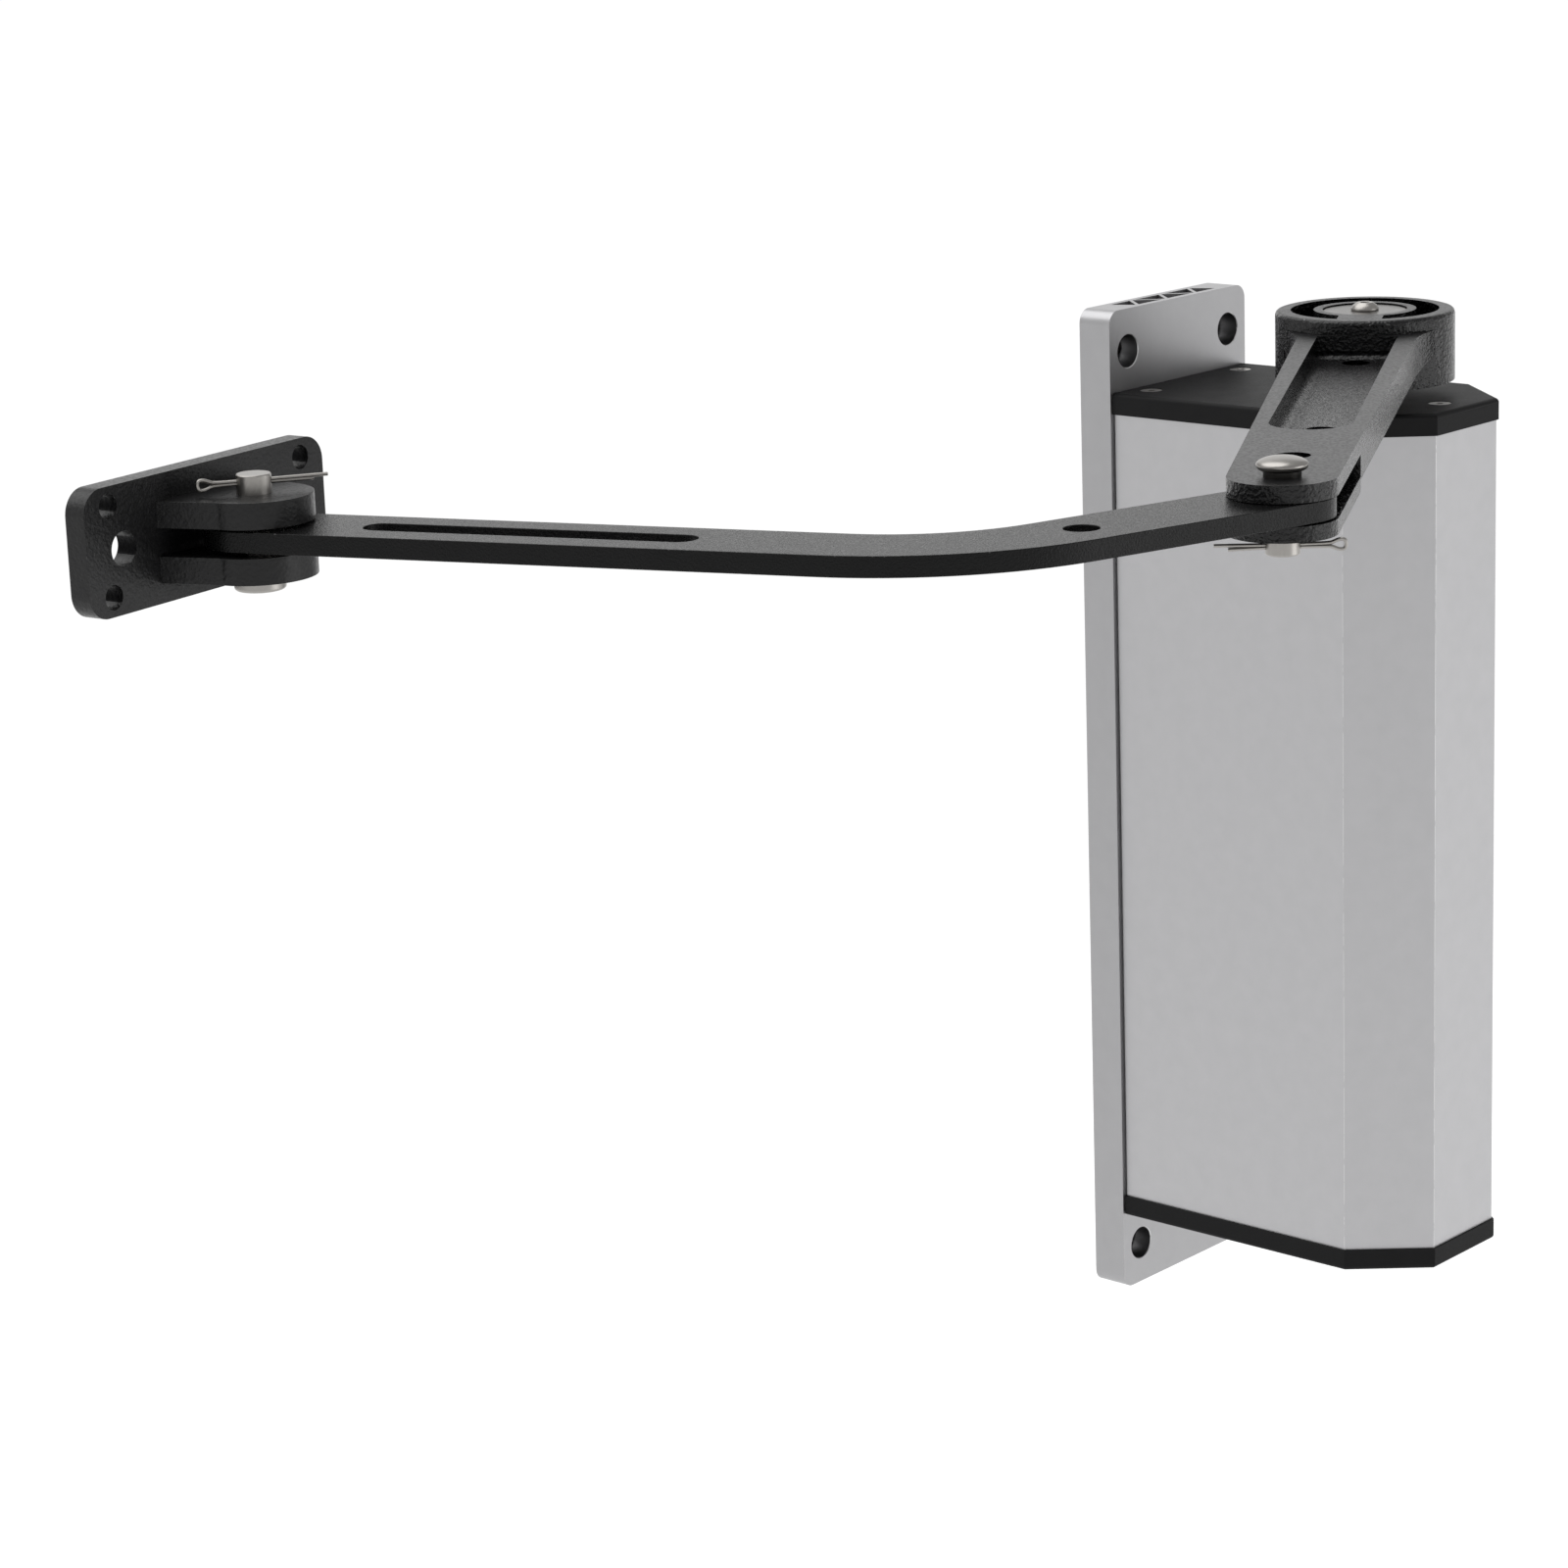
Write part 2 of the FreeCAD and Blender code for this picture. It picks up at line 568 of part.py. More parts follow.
def screw_ribs(extra, turn=0.0):
    """The steep ribs of the drive screw, grown on every side by extra and turned as a set."""
    ribs = []
    tall = size("screw_top") - size("screw_bottom")
    starts = int(size("screw_starts"))
    for start in range(starts):
        helix = document.addObject("Part::Helix", "Helix")
        bind(helix, Pitch="screw_lead", Radius="screw_core", Height="screw_top - screw_bottom")
        section = document.addObject("Part::Feature", "RibSection")
        half = size("screw_rib_wide") / 2 + extra
        inner = size("screw_core") - 1.5
        outer = size("screw_core") + size("screw_rib") + extra
        corners = [Vector(inner, 0, -half), Vector(outer, 0, -half), Vector(outer, 0, half),
                   Vector(inner, 0, half)]
        section.Shape = Part.makePolygon(corners + corners[:1])
        sweep = document.addObject("Part::Sweep", "Rib")
        sweep.Sections = [section]
        sweep.Spine = (helix, ["Edge1"])
        sweep.Solid = True
        sweep.Frenet = True
        document.recompute()
        turned = sweep.Shape.copy()
        turned.rotate(Vector(0, 0, 0), Vector(0, 0, 1), 360.0 * start / starts + turn)
        turned.translate(Vector(0, 0, size("screw_bottom")))
        ribs.append(turned)
        for used in (sweep, section, helix):
            document.removeObject(used.Name)
    keep_between = Part.makeCylinder(60, tall - 12, Vector(0, 0, size("screw_bottom") + 6))
    return [rib.common(keep_between) for rib in ribs]


def build_spindle():
    """The shaft: squared top for the hub, bearing journal, drive screw and lower journal."""
    head_low = size("body_top") - size("head_deep") - size("thrust_thick")
    low = size("body_bottom") + size("plug_deep") - size("plug_pocket") + 3
    square_low = size("hub_bottom") - 1
    square_high = size("hub_top") - size("washer_thick") - size("washer_drop")
    half = size("spindle_square") / 2
    shaft = Part.makeCylinder(size("spindle_radius"), square_low - head_low, Vector(0, 0, head_low))
    shoulder = Part.makeCylinder(size("thrust_outer") - 1, 4, Vector(0, 0, head_low - 4))
    core = Part.makeCylinder(size("screw_core"), head_low - size("screw_bottom"),
                             Vector(0, 0, size("screw_bottom")))
    tail = Part.makeCylinder(size("spindle_low_radius"), size("screw_bottom") - low, Vector(0, 0, low))
    square = Part.makeBox(2 * half, 2 * half, square_high - square_low, Vector(-half, -half, square_low))
    round_top = Part.makeCylinder(size("spindle_radius"), square_high - square_low,
                                  Vector(0, 0, square_low))
    tap = Part.makeCylinder(size("hub_screw_shank"), size("hub_screw_long"),
                            Vector(0, 0, square_high - size("hub_screw_long")))
    solid = shaft.multiFuse([shoulder, core, tail, square.common(round_top)] + screw_ribs(0.0))
    spindle = document.addObject("Part::Feature", "spindle")
    spindle.Shape = solid.cut(tap).removeSplitter()
    return keep(stand(spindle, spindle_place(), size("arm_turn")), "spindle")


def build_piston():
    """The nut on the screw, with side slots for the guide pins and a groove for its ring."""
    top = size("piston_top")
    low = top - size("piston_tall")
    outer = size("bore_radius") - size("piston_gap")
    gap = size("screw_gap")
    blank = Part.makeCylinder(outer, size("piston_tall"), Vector(0, 0, low))
    bore = Part.makeCylinder(size("screw_core") + gap, size("piston_tall"), Vector(0, 0, low))
    ring_low = low + 4
    ring = Part.makeCylinder(outer + 1, size("piston_ring_wide"), Vector(0, 0, ring_low))
    land = Part.makeCylinder(outer - size("piston_ring_deep"), size("piston_ring_wide"),
                             Vector(0, 0, ring_low))
    slot_half = size("guide_radius") + size("guide_gap")
    slot_deep = size("guide_reach") + size("guide_gap")
    slots = []
    for side in (-1, 1):
        start = outer - slot_deep if side > 0 else -outer - 1
        slots.append(Part.makeBox(slot_deep + 1, 2 * slot_half, size("piston_tall"),
                                  Vector(start, -slot_half, low + size("guide_slot_up"))))
    shape = blank.cut([bore, ring.cut(land)] + slots + screw_ribs(gap, size("arm_turn")))
    piston = document.addObject("Part::Feature", "piston")
    piston.Shape = shape.removeSplitter()
    keep(stand(piston, spindle_place()), "piston")
    ring_profile(new_body("piston_ring"), "bore_radius - piston_gap - piston_ring_deep",
                 "bore_radius - piston_gap",
                 "piston_top - piston_tall + 4", "piston_top - piston_tall + 4 + piston_ring_wide")


def build_guide_pins():
    pins = []
    reach = size("bore_radius") - size("guide_reach")
    for side in (-1, 1):
        place = spindle_place() + Vector(side * reach, 0, size("guide_level"))
        pins.append(make_cylinder("guide_radius", "body_radius - bore_radius + guide_reach - 0.3",
                                  place, Vector(side, 0, 0)))
    group("guide_pins", pins)


def build_closing_spring():
    """A compression spring between the plug and the piston, its end coils ground flat."""
    low = size("body_bottom") + size("plug_deep")
    high = size("piston_top") - size("piston_tall")
    wire = size("spring_wire")
    helix = document.addObject("Part::Helix", "SpringHelix")
    bind(helix, Radius="spring_mean", Height="piston_top - piston_tall - body_bottom - plug_deep",
         Pitch="(piston_top - piston_tall - body_bottom - plug_deep) / spring_turns")
    section = document.addObject("Part::Circle", "SpringWire")
    bind(section, Radius="spring_wire / 2")
    section.Placement = Placement(Vector(size("spring_mean"), 0, 0), Rotation(Vector(1, 0, 0), 90))
    sweep = document.addObject("Part::Sweep", "SpringCoil")
    sweep.Sections = [section]
    sweep.Spine = (helix, ["Edge1"])
    sweep.Solid = True
    sweep.Frenet = True
    sweep.Placement = Placement(Vector(0, 0, low), Rotation())
    ends = make_cylinder("spring_mean + spring_wire", str(high - low), Vector(0, 0, low))
    document.recompute()
    spring = document.addObject("Part::Common", "closing_spring")
    spring.Base = sweep
    spring.Tool = ends
    document.recompute()
    if spring.Shape.Volume < wire:
        raise RuntimeError("the spring is empty")
    keep(stand(spring, spindle_place()), "closing_spring")


# ---------------------------------------------------------------- main arm and hub fittings

def build_main_arm():
    """The cast arm in its own frame: spindle axis at the origin, elbow along +X."""
    body = new_body("main_arm")
    taper = "((arm_root_half - arm_tip) / arm_length)"
    square = f"sqrt(1 - {taper} ^ 2)"
    tip_at = f"arm_length + arm_tip * {taper}"
    beam = new_sketch(body, "XY_Plane", "arm_bottom")
    draw_outline(beam, [("0", "-arm_root_half"), (tip_at, f"-arm_tip * {square}"),
                        (tip_at, f"arm_tip * {square}"), ("0", "arm_root_half")])
    pad(body, beam, "arm_top - arm_bottom")
    ease_edges(body, "Chamfer", "under_chamfer", lambda edge, middle:
               abs(middle.z - size("arm_bottom")) < NEAR and abs(middle.y) > size("arm_tip"))
    cheeks = new_sketch(body, "XY_Plane", "arm_bottom")
    root_half = f"(arm_root_half - {taper} * fork_root)"
    draw_outline(cheeks, [("fork_root", f"-{root_half}"), (tip_at, f"-arm_tip * {square}"),
                          (tip_at, f"arm_tip * {square}"), ("fork_root", root_half)])
    pad(body, cheeks, "arm_top - arm_bottom")
    tip = new_sketch(body, "XY_Plane", "arm_bottom")
    draw_circle(tip, "arm_length", "0", "arm_tip")
    pad(body, tip, "arm_top - arm_bottom")
    hub = new_sketch(body, "XY_Plane", "hub_bottom")
    draw_circle(hub, "0", "0", "hub_radius")
    pad(body, hub, "hub_top - hub_bottom")
    round_edges(body, "flare_round", lambda edge, middle: is_upright(edge)
                and abs(abs(middle.y) - size("arm_root_half")) < 1 and middle.x > 1)
    channel = new_sketch(body, "XY_Plane", "arm_top")
    far = "channel_end - channel_tip"
    draw_outline(channel, [("channel_start", "-channel_half"), (far, "-channel_tip"),
                           (far, "channel_tip"), ("channel_start", "channel_half")])
    pocket(body, channel, "arm_top - channel_floor")
    channel_tip = new_sketch(body, "XY_Plane", "arm_top")
    draw_circle(channel_tip, far, "0", "channel_tip")
    pocket(body, channel_tip, "arm_top - channel_floor")
    round_edges(body, "floor_round", lambda edge, middle: abs(middle.z - size("channel_floor")) < NEAR)
    fork = new_sketch(body, "XZ_Plane", "-hub_radius")
    draw_rectangle(fork, "fork_root", "arm_length + arm_tip + 1", "fork_low", "fork_top")
    pocket(body, fork, "hub_radius * 2", backwards=True)
    holes = new_sketch(body, "XY_Plane", "arm_top")
    for place, radius in (("light_hole_near", "light_hole"), ("light_hole_far", "light_hole"),
                          ("spare_hole_at", "pin_bore"), ("arm_length", "pin_bore")):
        draw_circle(holes, place, "0", radius)
    pocket(body, holes, "arm_top - hub_bottom")
    build_hub_well(body)
    stand(body, spindle_place(), size("arm_turn"))


def build_hub_well(body):
    """The ring-shaped well between the hub's rim and boss, and what the boss is bored for."""
    well = new_sketch(body, "XY_Plane", "hub_top")
    draw_circle(well, "0", "0", "hub_rim")
    draw_circle(well, "0", "0", "hub_boss")
    pocket(body, well, "hub_top - hub_well")
    web = new_sketch(body, "XY_Plane", "hub_well - 1")
    draw_rectangle(web, "hub_boss - 2", "hub_rim + 1", "-hub_web / 2", "hub_web / 2")
    pad(body, web, "hub_top - hub_well + 1")
    seat = new_sketch(body, "XY_Plane", "hub_top")
    draw_circle(seat, "0", "0", "washer_radius + 0.25")
    pocket(body, seat, "washer_thick + washer_drop")
    bore = new_sketch(body, "XY_Plane", "hub_top")
    half = "spindle_square / 2"
    draw_rectangle(bore, f"-{half}", half, f"-{half}", half)
    pocket(body, bore, "hub_top - hub_bottom")


def build_hub_fittings():
    seat = size("hub_top") - size("washer_drop")
    body = new_body("hub_washer")
    profile = new_sketch(body, "XY_Plane", "hub_top - washer_drop - washer_thick")
    draw_circle(profile, "0", "0", "washer_radius")
    draw_circle(profile, "0", "0", "hub_screw_shank + 0.2")
    pad(body, profile, "washer_thick")
    stand(body, spindle_place())
    screw = new_body("hub_screw")
    turned = new_sketch(screw, "XZ_Plane")
    level = "hub_top - washer_drop"
    draw_outline(turned, [("0", f"{level} - hub_screw_long"),
                          ("hub_screw_shank", f"{level} - hub_screw_long"),
                          ("hub_screw_shank", level), ("hub_screw_head", level),
                          ("hub_screw_head", f"{level} + 0.7"),
                          ("hub_screw_head * 0.86", f"{level} + hub_screw_rise * 0.66"),
                          ("hub_screw_head * 0.6", f"{level} + hub_screw_rise"),
                          ("0", f"{level} + hub_screw_rise")])
    revolve(screw, turned)
    stand(screw, spindle_place())
    socket = make_hex("hub_screw_hex", "3", Vector(0, 0, seat + size("hub_screw_rise") - 1.6),
                      Vector(0, 0, 1))
    socket.Placement = screw.Placement.multiply(socket.Placement)
    pieces.remove(screw)
    screw.Label = "hub_screw_blank"
    keep(cut("hub_screw", screw, socket), "hub_screw")


# ---------------------------------------------------------------- pins, forearm and bracket

def drilled_pin(name, profile, place, level, turn):
    """A turned pin, cross-drilled at a level for its split pin."""
    blank = document.addObject("PartDesign::Body", name + "Blank")
    sketch = new_sketch(blank, "XZ_Plane")
    draw_outline(sketch, profile)
    revolve(blank, sketch)
    angle = math.radians(turn)
    along = Vector(math.cos(angle), math.sin(angle), 0)
    start = Vector(0, 0, level) - along * size("pin_head")
    drill = make_cylinder("split_wire", "pin_head * 2", start, along)
    keep(stand(cut(name, blank, drill), place), name)


def build_elbow_pin():
    crown = "(elbow_head_high - elbow_head_low)"
    profile = [("0", "elbow_pin_low"), ("pin_radius - 0.6", "elbow_pin_low"),
               ("pin_radius", "elbow_pin_low + 0.6"), ("pin_radius", "arm_top"),
               ("elbow_collar", "arm_top"), ("elbow_collar", "elbow_head_low"),
               ("pin_head * 0.86", f"elbow_head_low + {crown} * 0.15"),
               ("pin_head", f"elbow_head_low + {crown} * 0.42"),
               ("pin_head - 0.5", f"elbow_head_low + {crown} * 0.64"),
               ("pin_head * 0.7", f"elbow_head_low + {crown} * 0.86"),
               ("pin_head * 0.35", f"elbow_head_low + {crown} * 0.97"), ("0", "elbow_head_high")]
    level = size("elbow_pin_low") + size("split_inset")
    drilled_pin("elbow_pin", profile, elbow_place(), level, size("split_turn_elbow"))
    build_split_pin("elbow_split_pin", elbow_place(), level, size("split_turn_elbow"),
                    size("elbow_eye_out"))


def build_bracket_pin():
    low = "bracket_middle - lug_gap / 2 - lug_thick"
    profile = [("0", f"{low} - bracket_head_thick"), ("pin_head - 0.8", f"{low} - bracket_head_thick"),
               ("pin_head", f"{low} - bracket_head_thick + 0.8"), ("pin_head", low),
               ("pin_radius", low), ("pin_radius", "bracket_pin_high - 0.5"),
               ("pin_radius - 0.5", "bracket_pin_high"), ("0", "bracket_pin_high")]
    level = size("bracket_pin_high") - size("split_inset")
    drilled_pin("bracket_pin", profile, bracket_place(), level, size("split_turn_bracket"))
    build_split_pin("bracket_split_pin", bracket_place(), level, size("split_turn_bracket"),
                    size("bracket_eye_out"))


def build_split_pin(name, place, level, turn, eye_out):
    """A split pin along +X in its own frame: eye, then two half-round legs, one longer."""
    wire = size("split_wire")
    radius = size("split_eye")
    neck = 2 * radius + wire * 0.8 - eye_out
    reach = size("split_total") - eye_out
    short = reach - size("split_short")
    eye = Part.makeTorus(radius, wire * 0.8, Vector(neck - radius, 0, 0), Vector(0, 1, 0))
    short_leg = Part.makeCylinder(wire, short - neck, Vector(neck, 0, 0), Vector(1, 0, 0))
    long_leg = Part.makeCylinder(wire, reach - neck, Vector(neck, 0, 0), Vector(1, 0, 0))
    half = Part.makeBox(4 * reach, 4 * wire, 2 * wire, Vector(-2 * reach, -2 * wire, 0))
    pin = document.addObject("Part::Feature", name)
    pin.Shape = eye.multiFuse([short_leg, long_leg.common(half)]).removeSplitter()
    keep(stand(pin, place + Vector(0, 0, level), turn), name)


def build_forearm():
    """The bent flat bar in its own frame: elbow pin at the origin, near leg along +X."""
    body = new_body("forearm")
    path = new_sketch(body, "XY_Plane", "bar_low + bar_thick / 2")
    angle = math.radians(size("bend_angle"))
    tangent = size("bend_radius") * math.tan(angle / 2)
    near, far, radius = size("near_leg"), size("far_leg"), size("bend_radius")
    start_bend = Vector(near - tangent, 0, 0)
    middle = start_bend + Vector(0, -radius, 0)
    end_bend = middle + Vector(math.sin(angle), math.cos(angle), 0) * radius
    far_end = Vector(near + far * math.cos(angle), -far * math.sin(angle), 0)
    path.addGeometry(Part.LineSegment(Vector(0, 0, 0), start_bend), False)
    bend = Part.Circle(middle, Vector(0, 0, 1), radius)
    path.addGeometry(Part.ArcOfCircle(bend, math.pi / 2 - angle, math.pi / 2), False)
    path.addGeometry(Part.LineSegment(end_bend, far_end), False)
    path.addConstraint([Sketcher.Constraint("Coincident", 0, 1, -1, 1),
                        Sketcher.Constraint("Horizontal", 0),
                        Sketcher.Constraint("Tangent", 0, 2, 1, 2),
                        Sketcher.Constraint("Tangent", 1, 1, 2, 1)])
    for kind, values, text in (("Radius", (1, radius), "bend_radius"),
                               ("DistanceX", (0, 2, near - tangent),
                                "near_leg - bend_radius * tan(bend_angle / 2 * 1 deg)"),
                               ("DistanceX", (2, 2, far_end.x),
                                "near_leg + far_leg * cos(bend_angle * 1 deg)"),
                               ("DistanceY", (2, 2, far_end.y), "-far_leg * sin(bend_angle * 1 deg)")):
        index = path.addConstraint(Sketcher.Constraint(kind, *values))
        path.setExpression(f"Constraints[{index}]", bound(text))
    section = new_sketch(body, "YZ_Plane")
    draw_rectangle(section, "-bar_width / 2", "bar_width / 2", "bar_low", "bar_low + bar_thick")
    document.recompute()
    pipe = body.newObject("PartDesign::AdditivePipe", "Bar")
    pipe.Profile = section
    pipe.Spine = (path, ["Edge1", "Edge2", "Edge3"])
    document.recompute()
    across = ("near_leg + {} * cos(bend_angle * 1 deg)", "-{} * sin(bend_angle * 1 deg)")
    far_point = [text.format("far_leg") for text in across]
    ends = new_sketch(body, "XY_Plane", "bar_low")
    draw_circle(ends, "0", "0", "bar_width / 2")
    draw_circle(ends, far_point[0], far_point[1], "bar_width / 2")
    pad(body, ends, "bar_thick")
    holes = new_sketch(body, "XY_Plane", "bar_low + bar_thick")
    draw_circle(holes, "0", "0", "pin_bore")
    draw_circle(holes, "bar_hole_at", "0", "bar_hole")
    draw_circle(holes, far_point[0], far_point[1], "pin_bore")
    pocket(body, holes, "bar_thick")
    for place in ("(slot_start + slot_half)", "(slot_end - slot_half)"):
        rounds = new_sketch(body, "XY_Plane", "bar_low + bar_thick")
        draw_circle(rounds, across[0].format(place), across[1].format(place), "slot_half")
        pocket(body, rounds, "bar_thick")
    slot = new_sketch(body, "XY_Plane", "bar_low + bar_thick")
    corners = []
    for place, side in (("(slot_start + slot_half)", "-"), ("(slot_end - slot_half)", "-"),
                        ("(slot_end - slot_half)", "+"), ("(slot_start + slot_half)", "+")):
        corners.append((across[0].format(place) + f" {side} slot_half * sin(bend_angle * 1 deg)",
                        across[1].format(place) + f" {side} slot_half * cos(bend_angle * 1 deg)"))
    draw_outline(slot, corners)
    pocket(body, slot, "bar_thick")
    stand(body, elbow_place(), size("bar_turn"))


def build_gate_bracket():
    """The cast bracket in its own frame: pin axis at the origin, plate behind it at +Y."""
    body = new_body("gate_bracket")
    plate = new_sketch(body, "XZ_Plane", "-bracket_out - bracket_thick")
    draw_rectangle(plate, "-bracket_long / 2", "bracket_long / 2",
                   "leaf_middle - bracket_tall / 2", "leaf_middle + bracket_tall / 2")
    pad(body, plate, "bracket_thick")
    round_edges(body, "bracket_corner",
                lambda edge, middle: abs(middle.x) > size("bracket_long") / 2 - NEAR
                and abs(middle.z - size("leaf_middle")) > size("bracket_tall") / 2 - NEAR)
    for low in ("bracket_middle + lug_gap / 2", "bracket_middle - lug_gap / 2 - lug_thick"):
        end = new_sketch(body, "XY_Plane", low)
        draw_circle(end, "0", "0", "lug_radius")
        root = new_sketch(body, "XY_Plane", low)
        draw_outline(root, [("-lug_radius", "0"), ("lug_radius", "0"), ("lug_root_half", "bracket_out + 1"),
                            ("-lug_root_half", "bracket_out + 1")])
        pad(body, root, "lug_thick")
        pad(body, end, "lug_thick")
    bore = new_sketch(body, "XY_Plane", "leaf_middle + bracket_tall / 2")
    draw_circle(bore, "0", "0", "pin_bore")
    pocket(body, bore, "bracket_tall")
    holes = new_sketch(body, "XZ_Plane", "-bracket_out - bracket_thick")
    for across in ("-", ""):
        for up in ("-", "+"):
            draw_circle(holes, f"{across}leaf_across / 2", f"leaf_middle {up} leaf_up / 2", "leaf_hole")
        draw_circle(holes, f"{across}middle_across / 2", "leaf_middle", "middle_hole")
    pocket(body, holes, "bracket_thick", backwards=True)
    stand(body, bracket_place(), size("bracket_turn"))


def build_all():
    build_wall_plate()
    build_housing_tube()
    build_cap("top_cap", upper=True)
    build_cap("bottom_cap", upper=False)
    head_level = size("housing_half") + size("cap_thick") - size("cap_screw_sink")
    build_cap_screws("top_cap_screws", head_level, Vector(0, 0, -1))
    build_cap_screws("bottom_cap_screws", -head_level, Vector(0, 0, 1))
    build_hydraulic_body()
    build_body_screws()
    build_upper_head()
    build_lower_plug()
    build_bearings()
    build_valve("speed_valve", -1)
    build_valve("latch_valve", 1)
    build_spindle()
    build_piston()
    build_guide_pins()
    build_closing_spring()
    build_main_arm()
    build_hub_fittings()
    build_elbow_pin()
    build_forearm()
    build_bracket_pin()
    build_gate_bracket()
    document.recompute()


def check_all():
    """Stop before writing anything if an object failed or a piece has no valid solid."""
    for thing in document.Objects:
        if "Invalid" in thing.State or "Error" in thing.State:
            raise RuntimeError(f"{thing.Label} failed: {thing.State}")
    for piece in pieces:
        shape = piece.Shape
        if shape.isNull() or not shape.isValid() or not shape.Solids:
            raise RuntimeError(f"{piece.Label} is not a valid solid")


def write_all():
    os.makedirs("parts", exist_ok=True)
    for piece in pieces:
        piece.Shape.exportStep(f"parts/{piece.Label}.step")
        box = piece.Shape.BoundBox
        print(f"{piece.Label:20s} solids {len(piece.Shape.Solids)} volume {piece.Shape.Volume:10.0f}"
              f" x {box.XMin:.1f} {box.XMax:.1f} y {box.YMin:.1f} {box.YMax:.1f}"
              f" z {box.ZMin:.1f} {box.ZMax:.1f}")


build_all()
check_all()
write_all()
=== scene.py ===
"""Finished look of a wall-mounted hydraulic door closer with a cast arm, a bent bar and a leaf bracket."""
import json
import math

import bmesh
import bpy
from bpy.props import FloatProperty, FloatVectorProperty, IntProperty, PointerProperty
from mathutils import Matrix, Vector


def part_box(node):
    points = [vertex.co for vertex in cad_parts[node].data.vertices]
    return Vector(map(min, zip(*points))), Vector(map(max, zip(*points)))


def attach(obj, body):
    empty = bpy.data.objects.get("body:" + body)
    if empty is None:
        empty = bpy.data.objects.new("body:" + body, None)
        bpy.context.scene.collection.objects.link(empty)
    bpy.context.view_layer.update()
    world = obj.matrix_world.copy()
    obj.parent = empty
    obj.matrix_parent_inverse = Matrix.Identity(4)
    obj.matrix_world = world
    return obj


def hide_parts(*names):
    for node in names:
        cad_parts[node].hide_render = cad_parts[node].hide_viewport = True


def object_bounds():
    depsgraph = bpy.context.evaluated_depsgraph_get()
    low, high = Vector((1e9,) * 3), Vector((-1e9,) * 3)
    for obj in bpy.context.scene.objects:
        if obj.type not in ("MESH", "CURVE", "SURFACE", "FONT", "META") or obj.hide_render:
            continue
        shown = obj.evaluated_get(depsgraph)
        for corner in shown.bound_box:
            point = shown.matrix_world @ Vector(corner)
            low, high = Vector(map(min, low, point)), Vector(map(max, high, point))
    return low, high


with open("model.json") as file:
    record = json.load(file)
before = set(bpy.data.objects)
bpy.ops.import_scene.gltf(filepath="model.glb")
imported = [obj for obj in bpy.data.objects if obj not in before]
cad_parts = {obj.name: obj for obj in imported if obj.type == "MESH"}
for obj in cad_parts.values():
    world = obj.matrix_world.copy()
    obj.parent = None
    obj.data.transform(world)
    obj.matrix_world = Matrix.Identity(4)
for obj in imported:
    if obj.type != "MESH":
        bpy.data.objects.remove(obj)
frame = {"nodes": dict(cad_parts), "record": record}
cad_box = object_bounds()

bl_info = {
    "name": "Door closer finish",
    "version": (1, 0, 0),
    "blender": (4, 5, 0),
    "location": "3D View > Sidebar > Closer",
    "description": "Builds the finished pieces, materials and stage of a wall-mounted door closer",
    "category": "Object",
}

MM = 0.001

# Names of the face attributes that the finishes read, from 0 to 1.
RIM = "rim"
# The machined attribute also carries painted shade: it darkens the wall plate's bore walls and the elbow
# pin's collar under its head.
MACHINED_AND_SHADED = "machined"
# This attribute marks bore walls that are made to reflect nothing: painted shade inside the bores.
BORE_SHADE = "bored"

# Lengths in metres, as the frame's are.
MERGE_GAP = 0.000002            # corners nearer than this are one
TOUCH = 0.0001                  # how near an edge is to a face that it lies on
PLATE_MARGIN = 0.0101           # the wall plate's edges are broken this far in from its sides
PLATE_BORES = (0.0295, 0.165)   # a fixing bore's place from the plate's middle, across and up
BORE_REACH = 0.0066             # a fixing bore's radius with its rim, and a little over
ARM_TOPS = 0.1755               # the arm's faced tops lie above this level

# Angles in degrees: flat faces turn less than the first, and smooth ones less than the second.
FLAT_ANGLE = 0.6
SMOOTH_ANGLE = 35.0

# Edges sharper than these, in degrees, are broken.
CORNER_ANGLE = 20.0
RIM_ANGLE = 28.0
FITTING_ANGLE = 40.0
CAST_ANGLE = 40.0
SQUARE_ANGLE = 50.0

# A curved wall turns by this much, in radians, from one facet to the next.
LEAST_BEND, MOST_BEND = 0.01, 0.4

# Parts of a unit direction or normal: an upright edge, a face that looks up, a wall's normal.
UPRIGHT = 0.99
FACING_UP = 0.9
ACROSS_WALL = 0.5

# The pins, in millimetres: the elbow pin's levels are below its crown.
SHANK = 5.0
SHANK_ROUND = 0.6
COLLAR = 5.4
SEAT_DROP, NECK_DROP, BRIM_DROP = 5.7, 4.1, 2.4
BRACKET_HEAD = 4.2
BRACKET_ROUNDS = (0.9, 0.25, 0.45)

# The split pins, in millimetres: the legs' lengths, the neck and the eye's points are measured
# from the eye's outer end, the splay from the pin's axis.
SHORT_LEG, LONG_LEG = 33.6, 37.6
LEG_OFFSET = 0.38
SPLAY_START = 6.0
EYE_NECK = 5.2
EYE = ((2.4, -1.5), (0.9, -1.4), (0.5, 0), (0.9, 1.4), (2.4, 1.5))

# The stage: each softbox has its place, what it faces, its side in metres and its power in watts.
SOFTBOXES = (("left_softbox", (-2.2, 1.4, 1.0), (0.0, -0.1, 0.0), 1.6, 4.0),
             ("right_softbox", (1.0, -2.6, 0.2), (0.0, -0.1, 0.0), 1.8, 14.0),
             ("back_softbox", (1.5, 1.3, 0.75), (-0.2, -0.1, 0.1), 2.0, 7.2))
OVERHEAD_PLACE = (-0.5, 1.0, 2.5)
OVERHEAD_SPREAD = 70.0
OVERHEAD_STRENGTH = 2.1
ROOM_STRENGTH = 0.5
WHITE = (1.0, 1.0, 1.0, 1.0)
FLOOR_COLOUR = (0.93, 0.93, 0.93)
FLOOR_REACH = 60.0              # half of the floor's side

